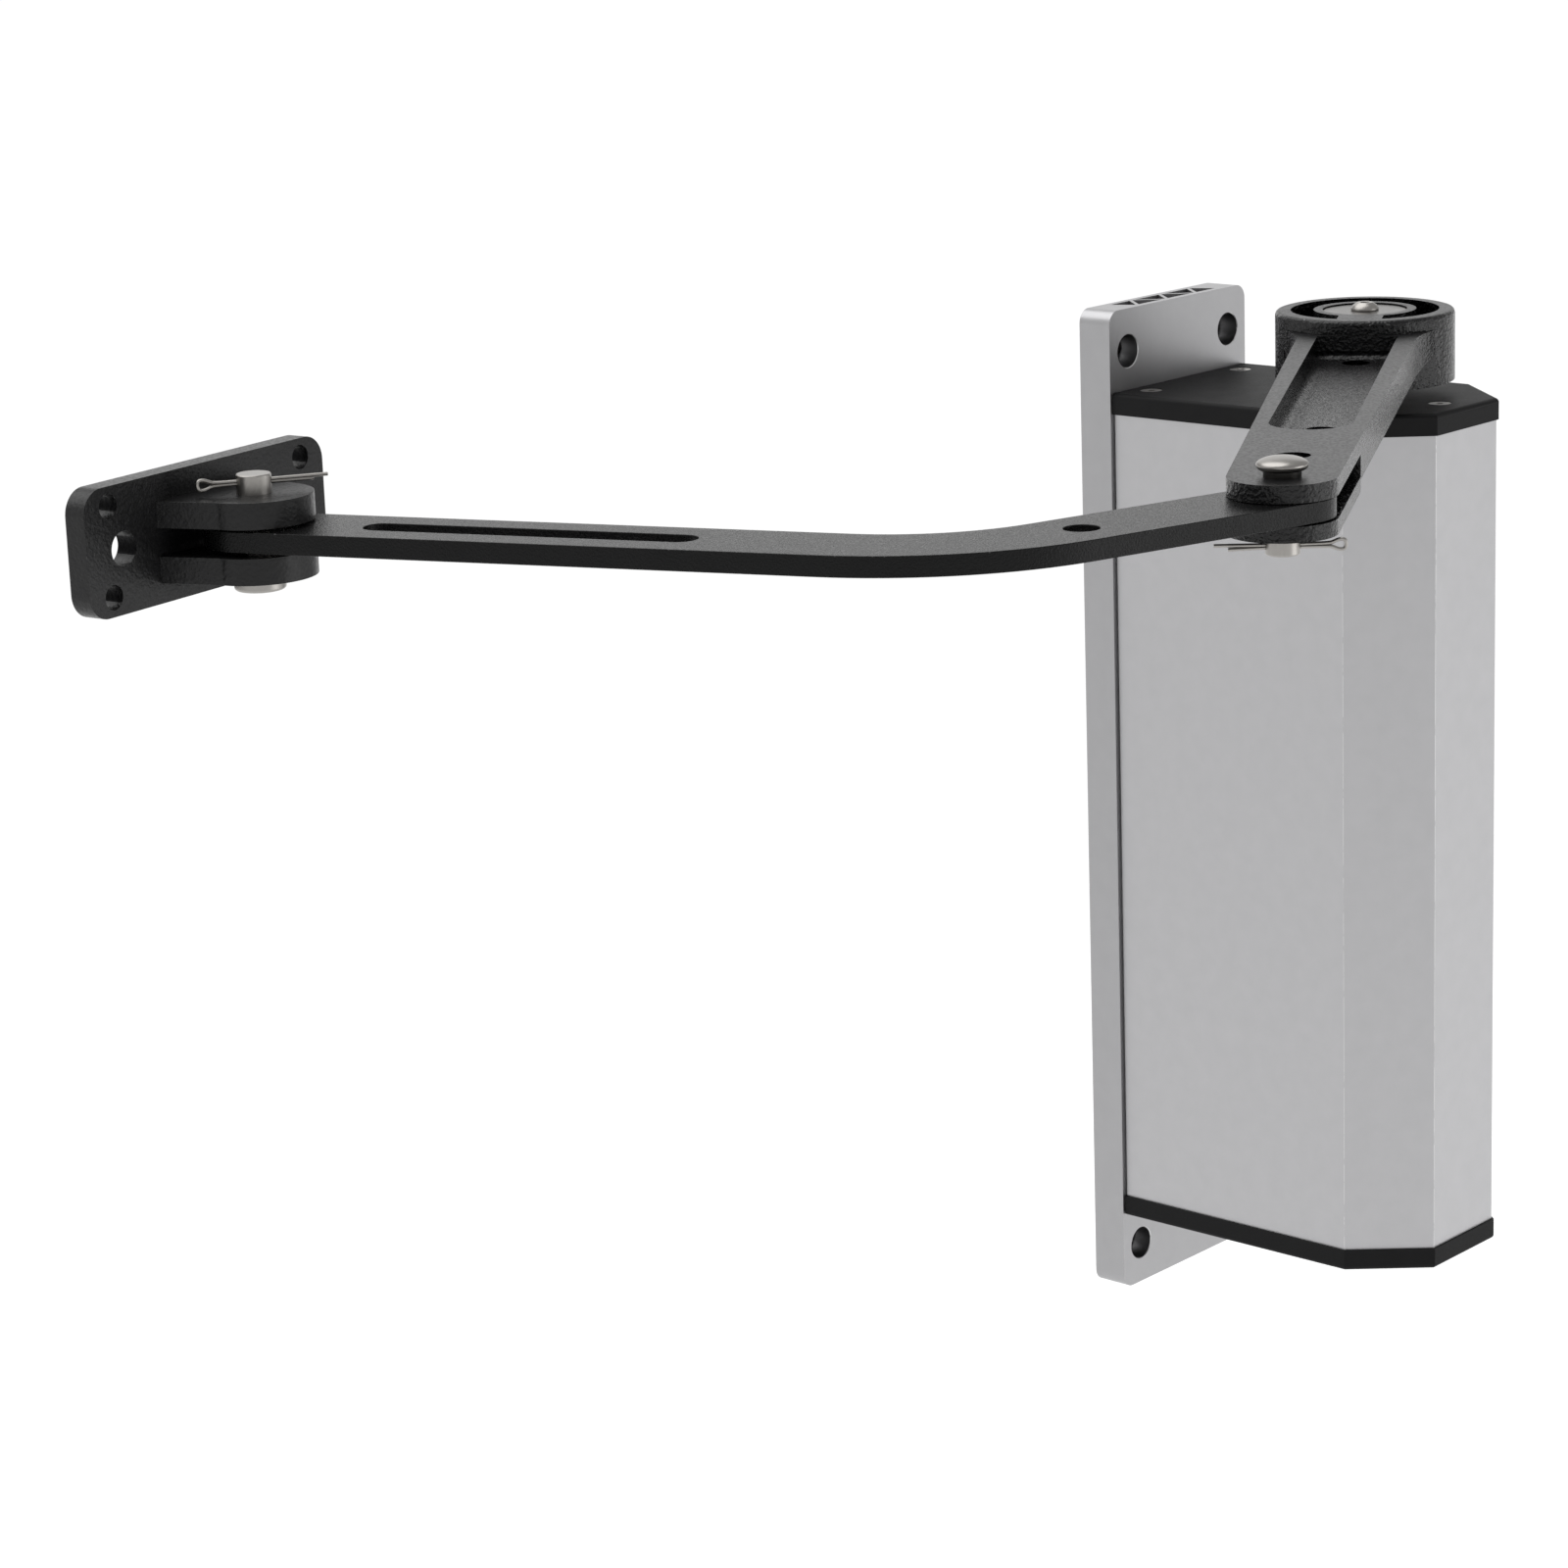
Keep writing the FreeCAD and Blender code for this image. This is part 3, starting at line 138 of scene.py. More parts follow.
PLATE_SHADE = 0.82               # the wall plate's colour beside the housing's, darkened as painted shade from the cap and hub above it
MIX_FIRST, MIX_SECOND, MIX_RESULT = 6, 7, 2     # a Mix node's sockets for colours


# ---------------------------------------------------------------- settings

class CloserSizes(bpy.types.PropertyGroup):
    """Sizes that a maker would change on the finished pieces"""
    edge_break: FloatProperty(name="Edge break", description="Broken edge on extruded and turned pieces",
                              default=0.0004, min=0.0, max=0.002, unit="LENGTH")
    hole_rim: FloatProperty(name="Hole rim", description="Countersunk rim of the fixing holes",
                            default=0.0007, min=0.0, max=0.002, unit="LENGTH")
    cast_edge: FloatProperty(name="Cast edge", description="Rounding of the cast arm's outer edges",
                             default=0.0007, min=0.0, max=0.002, unit="LENGTH")
    bore_edge: FloatProperty(name="Bore edge", description="Broken edge round the castings' bores",
                             default=0.00025, min=0.0, max=0.001, unit="LENGTH")
    hub_edge: FloatProperty(name="Hub edge", description="Rounding of the hub rim's outer edge",
                            default=0.0015, min=0.0, max=0.003, unit="LENGTH")
    bracket_edge: FloatProperty(name="Bracket edge",
                                description="Rounding of the cast bracket's outer edges",
                                default=0.0012, min=0.0, max=0.002, unit="LENGTH")
    bar_edge: FloatProperty(name="Bar edge", description="Rounding of the flat bar's edges",
                            default=0.0006, min=0.0, max=0.002, unit="LENGTH")
    wire: FloatProperty(name="Split pin wire", description="Half thickness of one split pin leg",
                        default=0.00055, min=0.0001, max=0.001, unit="LENGTH")
    facets: IntProperty(name="Facets", description="Faces round a full turn on turned pieces",
                        default=96, min=16, max=256)


class CloserColours(bpy.types.PropertyGroup):
    """Colours of the closer's finishes"""
    anodised: FloatVectorProperty(name="Anodised alloy", description="Satin anodised plate and housing",
                                  subtype="COLOR", size=3, min=0, max=1, default=(0.452, 0.450, 0.459))
    plastic: FloatVectorProperty(name="Cap plastic", description="Matte black end caps",
                                 subtype="COLOR", size=3, min=0, max=1, default=(0.006, 0.006, 0.0063))
    casting: FloatVectorProperty(name="Casting coat", description="Black coat on arm and bracket",
                                 subtype="COLOR", size=3, min=0, max=1, default=(0.005, 0.005, 0.0053))
    bar: FloatVectorProperty(name="Bar coat", description="Black powder coat on the flat bar",
                             subtype="COLOR", size=3, min=0, max=1, default=(0.0025, 0.0025, 0.0026))
    stainless: FloatVectorProperty(name="Stainless", description="Pins, screws and washer",
                                   subtype="COLOR", size=3, min=0, max=1, default=(0.33, 0.317, 0.30))
    steel: FloatVectorProperty(name="Machined steel", description="Inner steel pieces",
                               subtype="COLOR", size=3, min=0, max=1, default=(0.45, 0.45, 0.46))
    bronze: FloatVectorProperty(name="Bearing bronze", description="Bushes and thrust washer",
                                subtype="COLOR", size=3, min=0, max=1, default=(0.55, 0.36, 0.16))
    rubber: FloatVectorProperty(name="Seal rubber", description="Seals and piston ring",
                                subtype="COLOR", size=3, min=0, max=1, default=(0.015, 0.015, 0.015))


class CloserStage(bpy.types.PropertyGroup):
    """Camera and light of the stage"""
    azimuth: FloatProperty(name="Camera azimuth", description="Heading of the camera, from +Y towards -X",
                           default=math.radians(-47.961), unit="ROTATION")
    pitch: FloatProperty(name="Camera pitch", description="How far the camera looks down",
                         default=math.radians(14.309), unit="ROTATION")
    roll: FloatProperty(name="Camera roll", description="Tilt of the picture", default=math.radians(-2.037),
                        unit="ROTATION")
    lens: FloatProperty(name="Lens", description="Focal length in millimetres", default=99.45, min=10)
    place: FloatVectorProperty(name="Camera place", description="Where the camera stands", size=3,
                               subtype="XYZ", unit="LENGTH", default=(-1.2280, -0.9249, 0.3964))
    floor_drop: FloatProperty(name="Floor drop", description="How far the floor lies below the object",
                              default=0.55, min=0, unit="LENGTH")


# ---------------------------------------------------------------- node groups

def new_group(name, inputs, outputs):
    """A shader node group with float or vector sockets; returns it with its two end nodes."""
    group = bpy.data.node_groups.new(name, "ShaderNodeTree")
    for label, kind, value in inputs:
        socket = group.interface.new_socket(label, in_out="INPUT", socket_type=kind)
        if value is not None:
            socket.default_value = value
    for label, kind in outputs:
        group.interface.new_socket(label, in_out="OUTPUT", socket_type=kind)
    return group, group.nodes.new("NodeGroupInput"), group.nodes.new("NodeGroupOutput")


def fill_sockets(tree, made, sockets):
    """Feed a node's inputs: a socket is linked, anything else is set as its value."""
    for key, value in sockets.items():
        if isinstance(value, bpy.types.NodeSocket):
            tree.links.new(value, made.inputs[key])
        else:
            made.inputs[key].default_value = value


def node(tree, kind, **settings):
    """A new node: its properties by name, and its inputs in a dictionary called sockets."""
    made = tree.nodes.new(kind)
    sockets = settings.pop("sockets", {})
    for key, value in settings.items():
        setattr(made, key, value)
    fill_sockets(tree, made, sockets)
    return made


def ramp_map(tree, value, low, high, to_low, to_high):
    """A clamped linear map of a value."""
    made = node(tree, "ShaderNodeMapRange", sockets={"Value": value, "From Min": low, "From Max": high,
                                                     "To Min": to_low, "To Max": to_high})
    return made.outputs["Result"]


def mask_map(tree, mask, at_none, at_full):
    """A value that goes from one number to another as a mask goes from 0 to 1."""
    return ramp_map(tree, mask, 0.0, 1.0, at_none, at_full)


def maths(tree, operation, first, second):
    """The result of a Math node on two values."""
    return node(tree, "ShaderNodeMath", operation=operation, sockets={0: first, 1: second}).outputs[0]


def build_grain_group():
    """Fine two-scale grain: a height, and a tone that wanders round one."""
    broad_scale, broad_height, noise_middle = 0.06, 0.5, 0.5
    tree, start, end = new_group("fine_grain",
                                 [("Vector", "NodeSocketVector", None), ("Scale", "NodeSocketFloat", 900.0),
                                  ("Contrast", "NodeSocketFloat", 0.2)],
                                 [("Height", "NodeSocketFloat"), ("Tone", "NodeSocketFloat")])
    fine = node(tree, "ShaderNodeTexNoise", sockets={"Vector": start.outputs["Vector"],
                                                     "Scale": start.outputs["Scale"], "Detail": 3.0})
    broad = node(tree, "ShaderNodeTexNoise",
                 sockets={"Vector": start.outputs["Vector"],
                          "Scale": maths(tree, "MULTIPLY", start.outputs["Scale"], broad_scale),
                          "Detail": 2.0})
    both = maths(tree, "ADD", fine.outputs["Fac"],
                 maths(tree, "MULTIPLY", broad.outputs["Fac"], broad_height))
    tree.links.new(both, end.inputs["Height"])
    swing = maths(tree, "MULTIPLY", maths(tree, "SUBTRACT", broad.outputs["Fac"], noise_middle),
                  start.outputs["Contrast"])
    tree.links.new(maths(tree, "ADD", swing, 1.0), end.inputs["Tone"])
    return tree


def build_drawn_group():
    """Draw lines of an extrusion, or lay of a brushed face: noise stretched along one axis."""
    tree, start, end = new_group("draw_lines",
                                 [("Vector", "NodeSocketVector", None), ("Scale", "NodeSocketFloat", 600.0),
                                  ("Stretch", "NodeSocketFloat", 0.01)],
                                 [("Height", "NodeSocketFloat")])
    split = node(tree, "ShaderNodeSeparateXYZ", sockets={0: start.outputs["Vector"]})
    joined = node(tree, "ShaderNodeCombineXYZ",
                  sockets={0: split.outputs[0], 1: split.outputs[1],
                           2: maths(tree, "MULTIPLY", split.outputs[2], start.outputs["Stretch"])})
    lines = node(tree, "ShaderNodeTexNoise", sockets={"Vector": joined.outputs[0],
                                                      "Scale": start.outputs["Scale"], "Detail": 4.0})
    tree.links.new(lines.outputs["Fac"], end.inputs["Height"])
    return tree


def build_cast_group():
    """Orange-peel skin of a coated sand casting: rounded lumps with finer pits."""
    cell_scale, cell_height = 1.6, 0.35
    pit_middle, pit_edge = 0.15, 0.6
    tree, start, end = new_group("cast_skin",
                                 [("Vector", "NodeSocketVector", None),
                                  ("Scale", "NodeSocketFloat", 500.0)],
                                 [("Height", "NodeSocketFloat"), ("Pits", "NodeSocketFloat")])
    lumps = node(tree, "ShaderNodeTexNoise", sockets={"Vector": start.outputs["Vector"],
                                                      "Scale": start.outputs["Scale"],
                                                      "Detail": 2.5, "Roughness": 0.55})
    cells = node(tree, "ShaderNodeTexVoronoi", feature="SMOOTH_F1",
                 sockets={"Vector": start.outputs["Vector"], "Smoothness": 0.6,
                          "Scale": maths(tree, "MULTIPLY", start.outputs["Scale"], cell_scale)})
    total = maths(tree, "ADD", lumps.outputs["Fac"],
                  maths(tree, "MULTIPLY", cells.outputs["Distance"], cell_height))
    tree.links.new(total, end.inputs["Height"])
    tree.links.new(ramp_map(tree, cells.outputs["Distance"], pit_middle, pit_edge, 1.0, 0.0),
                   end.inputs["Pits"])
    return tree


def build_wear_group():
    """Worn spots along broken edges: the rim mask cut up by noise."""
    bare_level, cover_share, softness = 0.80, 0.45, 0.06
    tree, start, end = new_group("edge_wear",
                                 [("Vector", "NodeSocketVector", None), ("Rim", "NodeSocketFloat", 0.0),
                                  ("Scale", "NodeSocketFloat", 400.0), ("Cover", "NodeSocketFloat", 0.3)],
                                 [("Mask", "NodeSocketFloat")])
    noise = node(tree, "ShaderNodeTexNoise", sockets={"Vector": start.outputs["Vector"],
                                                      "Scale": start.outputs["Scale"], "Detail": 3.0})
    low = maths(tree, "SUBTRACT", bare_level,
                maths(tree, "MULTIPLY", start.outputs["Cover"], cover_share))
    spots = ramp_map(tree, noise.outputs["Fac"], low, maths(tree, "ADD", low, softness), 0.0, 1.0)
    tree.links.new(maths(tree, "MULTIPLY", spots, start.outputs["Rim"]), end.inputs["Mask"])
    return tree


def use_group(tree, name, **sockets):
    """Place a shared node group, its inputs by name; returns its outputs."""
    made = tree.nodes.new("ShaderNodeGroup")
    made.node_tree = bpy.data.node_groups[name]
    fill_sockets(tree, made, sockets)
    return made.outputs


def new_material(name, colour, metallic, roughness, **constants):
    """A material with its shader's plain numbers set; returns its tree, shader and coordinates."""
    material = bpy.data.materials.get(name) or bpy.data.materials.new(name)
    material.use_nodes = True
    material.diffuse_color = (*colour, 1.0)
    tree = material.node_tree
    tree.nodes.clear()
    shader = tree.nodes.new("ShaderNodeBsdfPrincipled")
    tree.links.new(shader.outputs[0], tree.nodes.new("ShaderNodeOutputMaterial").inputs["Surface"])
    shader.inputs["Base Color"].default_value = (*colour, 1.0)
    shader.inputs["Metallic"].default_value = metallic
    shader.inputs["Roughness"].default_value = roughness
    for key, value in constants.items():
        shader.inputs[key.replace("_", " ")].default_value = value
    return tree, shader, tree.nodes.new("ShaderNodeTexCoord").outputs["Object"]


def tint(tree, shader, colour, tone, mask=None, worn=None):
    """Base colour: the plain colour scaled by a tone, with a worn colour through a mask."""
    scaled = node(tree, "ShaderNodeVectorMath", operation="SCALE",
                  sockets={0: tuple(colour), "Scale": tone}).outputs[0]
    if mask is not None:
        blend = tree.nodes.new("ShaderNodeMix")
        blend.data_type = "RGBA"
        tree.links.new(mask, blend.inputs[0])
        tree.links.new(scaled, blend.inputs[MIX_FIRST])
        blend.inputs[MIX_SECOND].default_value = (*worn, 1.0)
        scaled = blend.outputs[MIX_RESULT]
    tree.links.new(scaled, shader.inputs["Base Color"])


def bump(tree, shader, height, depth):
    """Raise a height pattern by a real depth in metres."""
    made = node(tree, "ShaderNodeBump", sockets={"Strength": 1.0, "Distance": depth, "Height": height})
    tree.links.new(made.outputs["Normal"], shader.inputs["Normal"])


def grain_roughness(tree, shader, grain, least, most):
    """Let the roughness follow the grain's height, over the range that the height keeps to."""
    hollow, peak = 0.4, 1.1
    tree.links.new(ramp_map(tree, grain["Height"], hollow, peak, least, most), shader.inputs["Roughness"])


def attribute(tree, name):
    """The value of a face attribute."""
    return node(tree, "ShaderNodeAttribute", attribute_name=name).outputs["Fac"]


def make_anodised(name, colour, roughness):
    """Satin anodised extrusion: upright draw lines under a very fine etched grain."""
    grain_height = 0.5
    tree, shader, place = new_material(name, colour, metallic=0.92, roughness=roughness)
    grain = use_group(tree, "fine_grain", Vector=place, Scale=2600.0, Contrast=0.10)
    lines = use_group(tree, "draw_lines", Vector=place, Scale=900.0, Stretch=0.006)
    wear = use_group(tree, "edge_wear", Vector=place, Rim=attribute(tree, RIM), Scale=260.0, Cover=0.9)
    # Painted shade: faces set in the machined mask, the wall plate's bore walls, are darkened to 0.35 of
    # the colour.
    shaded = mask_map(tree, attribute(tree, MACHINED_AND_SHADED), 1.0, 0.35)
    tint(tree, shader, colour, maths(tree, "MULTIPLY", grain["Tone"], shaded), wear["Mask"],
         worn=(0.62, 0.62, 0.62))
    height = maths(tree, "ADD", maths(tree, "MULTIPLY", grain["Height"], grain_height), lines["Height"])
    bump(tree, shader, height, depth=0.000006)
    grain_roughness(tree, shader, grain, roughness - 0.03, roughness + 0.05)


def make_plastic(name, colour):
    """Matte moulded plastic with a spark-eroded grain."""
    tree, shader, place = new_material(name, colour, metallic=0.0, roughness=0.55,
                                       Specular_IOR_Level=0.13)
    grain = use_group(tree, "fine_grain", Vector=place, Scale=2200.0, Contrast=0.5)
    wear = use_group(tree, "edge_wear", Vector=place, Rim=attribute(tree, RIM), Scale=500.0, Cover=0.35)
    tint(tree, shader, colour, grain["Tone"], wear["Mask"], worn=(0.03, 0.03, 0.031))
    bump(tree, shader, grain["Height"], depth=0.00004)
    grain_roughness(tree, shader, grain, 0.50, 0.62)


def make_casting(name, colour):
    """Black coat over a casting: lumpy skin, smoother where machined, paler nicks along the edges, and bore
    walls blacked out as painted shade.
    """
    lumps_left, grain_height, wear_roughness = 0.035, 0.10, 0.1
    tree, shader, place = new_material(name, colour, metallic=0.0, roughness=0.3,
                                       Specular_IOR_Level=0.30)
    skin = use_group(tree, "cast_skin", Vector=place, Scale=640.0)
    grain = use_group(tree, "fine_grain", Vector=place, Scale=1500.0, Contrast=0.8)
    wear = use_group(tree, "edge_wear", Vector=place, Rim=attribute(tree, RIM), Scale=520.0, Cover=0.36)
    tint(tree, shader, colour, grain["Tone"], wear["Mask"], worn=(0.12, 0.12, 0.12))
    smooth = attribute(tree, MACHINED_AND_SHADED)
    rough_part = maths(tree, "MULTIPLY", skin["Height"], mask_map(tree, smooth, 1.0, lumps_left))
    height = maths(tree, "ADD", rough_part, maths(tree, "MULTIPLY", grain["Height"], grain_height))
    bump(tree, shader, height, depth=0.00050)
    base = maths(tree, "ADD", mask_map(tree, skin["Pits"], 0.20, 0.30), mask_map(tree, smooth, 0.0, 0.14))
    tree.links.new(maths(tree, "ADD", base, maths(tree, "MULTIPLY", wear["Mask"], wear_roughness)),
                   shader.inputs["Roughness"])
    # Painted shade: marked bore walls turn fully metallic over the near-black coat, so they reflect almost
    # nothing.
    tree.links.new(attribute(tree, BORE_SHADE), shader.inputs["Metallic"])


def make_bar_coat(name, colour):
    """Fine textured powder coat on flat bar."""
    skin_height, grain_height = 0.8, 0.3
    tree, shader, place = new_material(name, colour, metallic=0.0, roughness=0.36,
                                       Specular_IOR_Level=0.17)
    grain = use_group(tree, "fine_grain", Vector=place, Scale=1300.0, Contrast=0.9)
    skin = use_group(tree, "cast_skin", Vector=place, Scale=1500.0)
    wear = use_group(tree, "edge_wear", Vector=place, Rim=attribute(tree, RIM), Scale=700.0, Cover=0.34)
    tint(tree, shader, colour, grain["Tone"], wear["Mask"], worn=(0.08, 0.08, 0.08))
    height = maths(tree, "ADD", maths(tree, "MULTIPLY", skin["Height"], skin_height),
                   maths(tree, "MULTIPLY", grain["Height"], grain_height))
    bump(tree, shader, height, depth=0.00018)
    tree.links.new(mask_map(tree, skin["Pits"], 0.26, 0.40), shader.inputs["Roughness"])


def make_metal(name, colour, roughness, depth):
    """Turned or drawn bare metal: fine lay and a slight mottle, darker where it is faced, with painted
    shade on the elbow pin's collar under its head.
    """
    worn_gain = 1.3
    tree, shader, place = new_material(name, colour, metallic=1.0, roughness=roughness)
    grain = use_group(tree, "fine_grain", Vector=place, Scale=1800.0, Contrast=0.12)
    lay = use_group(tree, "draw_lines", Vector=place, Scale=1600.0, Stretch=3.0)
    wear = use_group(tree, "edge_wear", Vector=place, Rim=attribute(tree, RIM), Scale=900.0, Cover=0.6)
    # Darker where the mask is set: the washer's duller face is its own tone, while the elbow pin's collar,
    # darkened to 0.12, is painted shade under the head.
    faced = mask_map(tree, attribute(tree, MACHINED_AND_SHADED), 1.0, 0.12)
    tint(tree, shader, colour, maths(tree, "MULTIPLY", grain["Tone"], faced), wear["Mask"],
         worn=tuple(min(1.0, part * worn_gain) for part in colour))
    bump(tree, shader, maths(tree, "ADD", grain["Height"], lay["Height"]), depth)
    grain_roughness(tree, shader, grain, roughness - 0.05, roughness + 0.08)


def make_rubber(name, colour):
    """Moulded seal rubber."""
    tree, shader, place = new_material(name, colour, metallic=0.0, roughness=0.7)
    grain = use_group(tree, "fine_grain", Vector=place, Scale=1600.0, Contrast=0.4)
    tint(tree, shader, colour, grain["Tone"])
    bump(tree, shader, grain["Height"], depth=0.00003)


def build_finishes(colours):
    """Every shared effect, then every material; bare metals have a roughness and a lay depth in metres."""
    build_grain_group()
    build_drawn_group()
    build_cast_group()
    build_wear_group()
    # The plate's colour is scaled down: painted shade from the cap and hub.
    make_anodised("plate_alloy", [part * PLATE_SHADE for part in colours.anodised], roughness=0.36)
    make_anodised("housing_alloy", colours.anodised, roughness=0.40)
    make_plastic("cap_plastic", colours.plastic)
    make_casting("arm_casting", colours.casting)
    make_bar_coat("bar_steel", colours.bar)
    for name, colour, roughness, depth in (("stainless", colours.stainless, 0.31, 0.000003),
                                           ("body_alloy", colours.anodised, 0.38, 0.00001),
                                           ("machined_steel", colours.steel, 0.30, 0.000008),
                                           ("bronze", colours.bronze, 0.38, 0.00001),
                                           ("spring_steel", colours.steel, 0.42, 0.00001)):
        make_metal(name, colour, roughness, depth)
    make_rubber("seal_rubber", colours.rubber)


# ---------------------------------------------------------------- mesh helpers

def settle(name, shape, slot, body, replaced):
    """Make a bmesh a finished piece: shading, material, the body it rides on and what it stands for."""
    mesh = bpy.data.meshes.new(name)
    for face in shape.faces:
        face.smooth = True
    for edge in shape.edges:
        edge.smooth = edge.calc_face_angle(0.0) < math.radians(SMOOTH_ANGLE)
    shape.to_mesh(mesh)
    shape.free()
    piece = bpy.data.objects.new(name, mesh)
    bpy.context.scene.collection.objects.link(piece)
    mesh.materials.append(bpy.data.materials[slot])
    finish = piece.modifiers.new("Flat faces stay flat", "WEIGHTED_NORMAL")
    finish.keep_sharp = True
    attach(piece, body)
    for cad_node in replaced:
        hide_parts(cad_node)


def cad_shape(cad_node):
    """A merged copy of a CAD node's mesh, with its flat faces whole."""
    shape = bmesh.new()
    shape.from_mesh(frame["nodes"][cad_node].data)
    bmesh.ops.remove_doubles(shape, verts=shape.verts, dist=MERGE_GAP)
    bmesh.ops.dissolve_limit(shape, angle_limit=math.radians(FLAT_ANGLE), verts=shape.verts,
                             edges=shape.edges)
    return shape


def sharp_edges(shape, angle, test=None):
    """Edges sharper than an angle in degrees that pass a test of the edge and its middle point."""
    found = []
    for edge in shape.edges:
        if len(edge.link_faces) != 2 or edge.calc_face_angle(0.0) < math.radians(angle):
            continue
        middle = (edge.verts[0].co + edge.verts[1].co) / 2
        if test is None or test(edge, middle):
            found.append(edge)
    return found


def break_edges(shape, edges, radius, segments):
    """Round edges, or with one segment cut them flat, and mark the new faces as rim."""
    layer = shape.faces.layers.float.get(RIM) or shape.faces.layers.float.new(RIM)
    made = bmesh.ops.bevel(shape, geom=edges, offset=radius, offset_type="OFFSET", segments=segments,
                           profile=0.5, affect="EDGES", material=-1, clamp_overlap=True, loop_slide=True)
    for face in made["faces"]:
        face[layer] = 1.0


def mark_machined_and_shaded(shape, share):
    """Say how far each face was machined after it was drawn, cast or turned, or how deep its painted shade
    is, from 0 to 1.
    """
    layer = shape.faces.layers.float.get(MACHINED_AND_SHADED) or shape.faces.layers.float.new(MACHINED_AND_SHADED)
    for face in shape.faces:
        face[layer] = share(face)


def is_hollow_step(side):
    """Whether a face's side is where a hollow curved wall turns from one facet to the next."""
    return not side.is_convex and LEAST_BEND < side.calc_face_angle(0.0) < MOST_BEND


def in_a_bore(edge):
    """Whether an edge ends a hollow curve: a face beside it is a facet of a bore or slot."""
    return any(is_hollow_step(side) for face in edge.link_faces for side in face.edges)


def mark_bore_shade(shape):
    """Mark the walls of bores and slots, which are blacked out as painted shade."""
    layer = shape.faces.layers.float.get(BORE_SHADE) or shape.faces.layers.float.new(BORE_SHADE)
    for face in shape.faces:
        steps = [side for side in face.edges if is_hollow_step(side)]
        face[layer] = 1.0 if len(steps) > 1 and abs(face.normal.z) < ACROSS_WALL else 0.0


def break_casting(shape, bore_radius, cast_radius, spared=lambda edge, middle: False):
    """Break a casting's edges round its bores, then round its outer ones; spared edges are left."""
    def is_bore_edge(edge, middle):
        return edge.is_convex and in_a_bore(edge) and not spared(edge, middle)

    def is_cast_edge(edge, middle):
        return edge.is_convex and not in_a_bore(edge) and not spared(edge, middle)

    break_edges(shape, sharp_edges(shape, CAST_ANGLE, is_bore_edge), bore_radius, 1)
    break_edges(shape, sharp_edges(shape, CAST_ANGLE, is_cast_edge), cast_radius, 3)


def turned(profile, steps, place):
    """A solid of revolution about an upright axis, from (radius, height, rounding) in millimetres."""
    shape = bmesh.new()
    points = [shape.verts.new((radius * MM, 0.0, height * MM)) for radius, height, _ in profile]
    for first, second in zip(points, points[1:]):
        shape.edges.new((first, second))
    for point, (_, _, rounding) in zip(points, profile):
        if rounding:
            bmesh.ops.bevel(shape, geom=[point], offset=rounding * MM, offset_type="OFFSET", segments=6,
                            profile=0.5, affect="VERTICES", material=-1, clamp_overlap=True)
    bmesh.ops.spin(shape, geom=shape.verts[:] + shape.edges[:], cent=(0, 0, 0), axis=(0, 0, 1),
                   dvec=(0, 0, 0), angle=math.tau, steps=steps, use_merge=True, use_duplicate=False)
    bmesh.ops.remove_doubles(shape, verts=shape.verts, dist=MERGE_GAP)
    bmesh.ops.recalc_face_normals(shape, faces=shape.faces)
    bmesh.ops.translate(shape, verts=shape.verts, vec=(place.x, place.y, 0.0))
    return shape


def wire_along(points, radius, place):
    """A round wire along a smooth line drawn by points in millimetres, put in place by a matrix."""
    line = bpy.data.curves.new("wire_line", "CURVE")
    line.dimensions = "3D"
    line.bevel_depth = radius
    line.bevel_resolution = 4
    line.use_fill_caps = True
    spline = line.splines.new("NURBS")
    spline.points.add(len(points) - 1)
    for spot, point in zip(spline.points, points):
        spot.co = (*(part * MM for part in point), 1.0)
    spline.order_u = 3
    spline.use_endpoint_u = True
    spline.resolution_u = 8
    holder = bpy.data.objects.new("wire_line", line)
    bpy.context.scene.collection.objects.link(holder)
    bpy.context.view_layer.update()
    mesh = bpy.data.meshes.new_from_object(holder.evaluated_get(bpy.context.evaluated_depsgraph_get()))
    shape = bmesh.new()
    shape.from_mesh(mesh)
    bpy.data.objects.remove(holder)
    bpy.data.curves.remove(line)
    bpy.data.meshes.remove(mesh)
    bmesh.ops.transform(shape, matrix=place, verts=shape.verts)
    bmesh.ops.remove_doubles(shape, verts=shape.verts, dist=MERGE_GAP)
    bmesh.ops.recalc_face_normals(shape, faces=shape.faces)
    return shape


def node_middle(cad_node):
    """Middle of a CAD node's box, which a turned node's axis goes through."""
    low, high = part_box(cad_node)
    return (low + high) / 2


def finish_node(cad_node, slot):
    """Give a CAD node that no piece replaces its finish."""
    holder = frame["nodes"][cad_node]
    holder.data.materials.clear()
    holder.data.materials.append(bpy.data.materials[slot])


# ---------------------------------------------------------------- operators

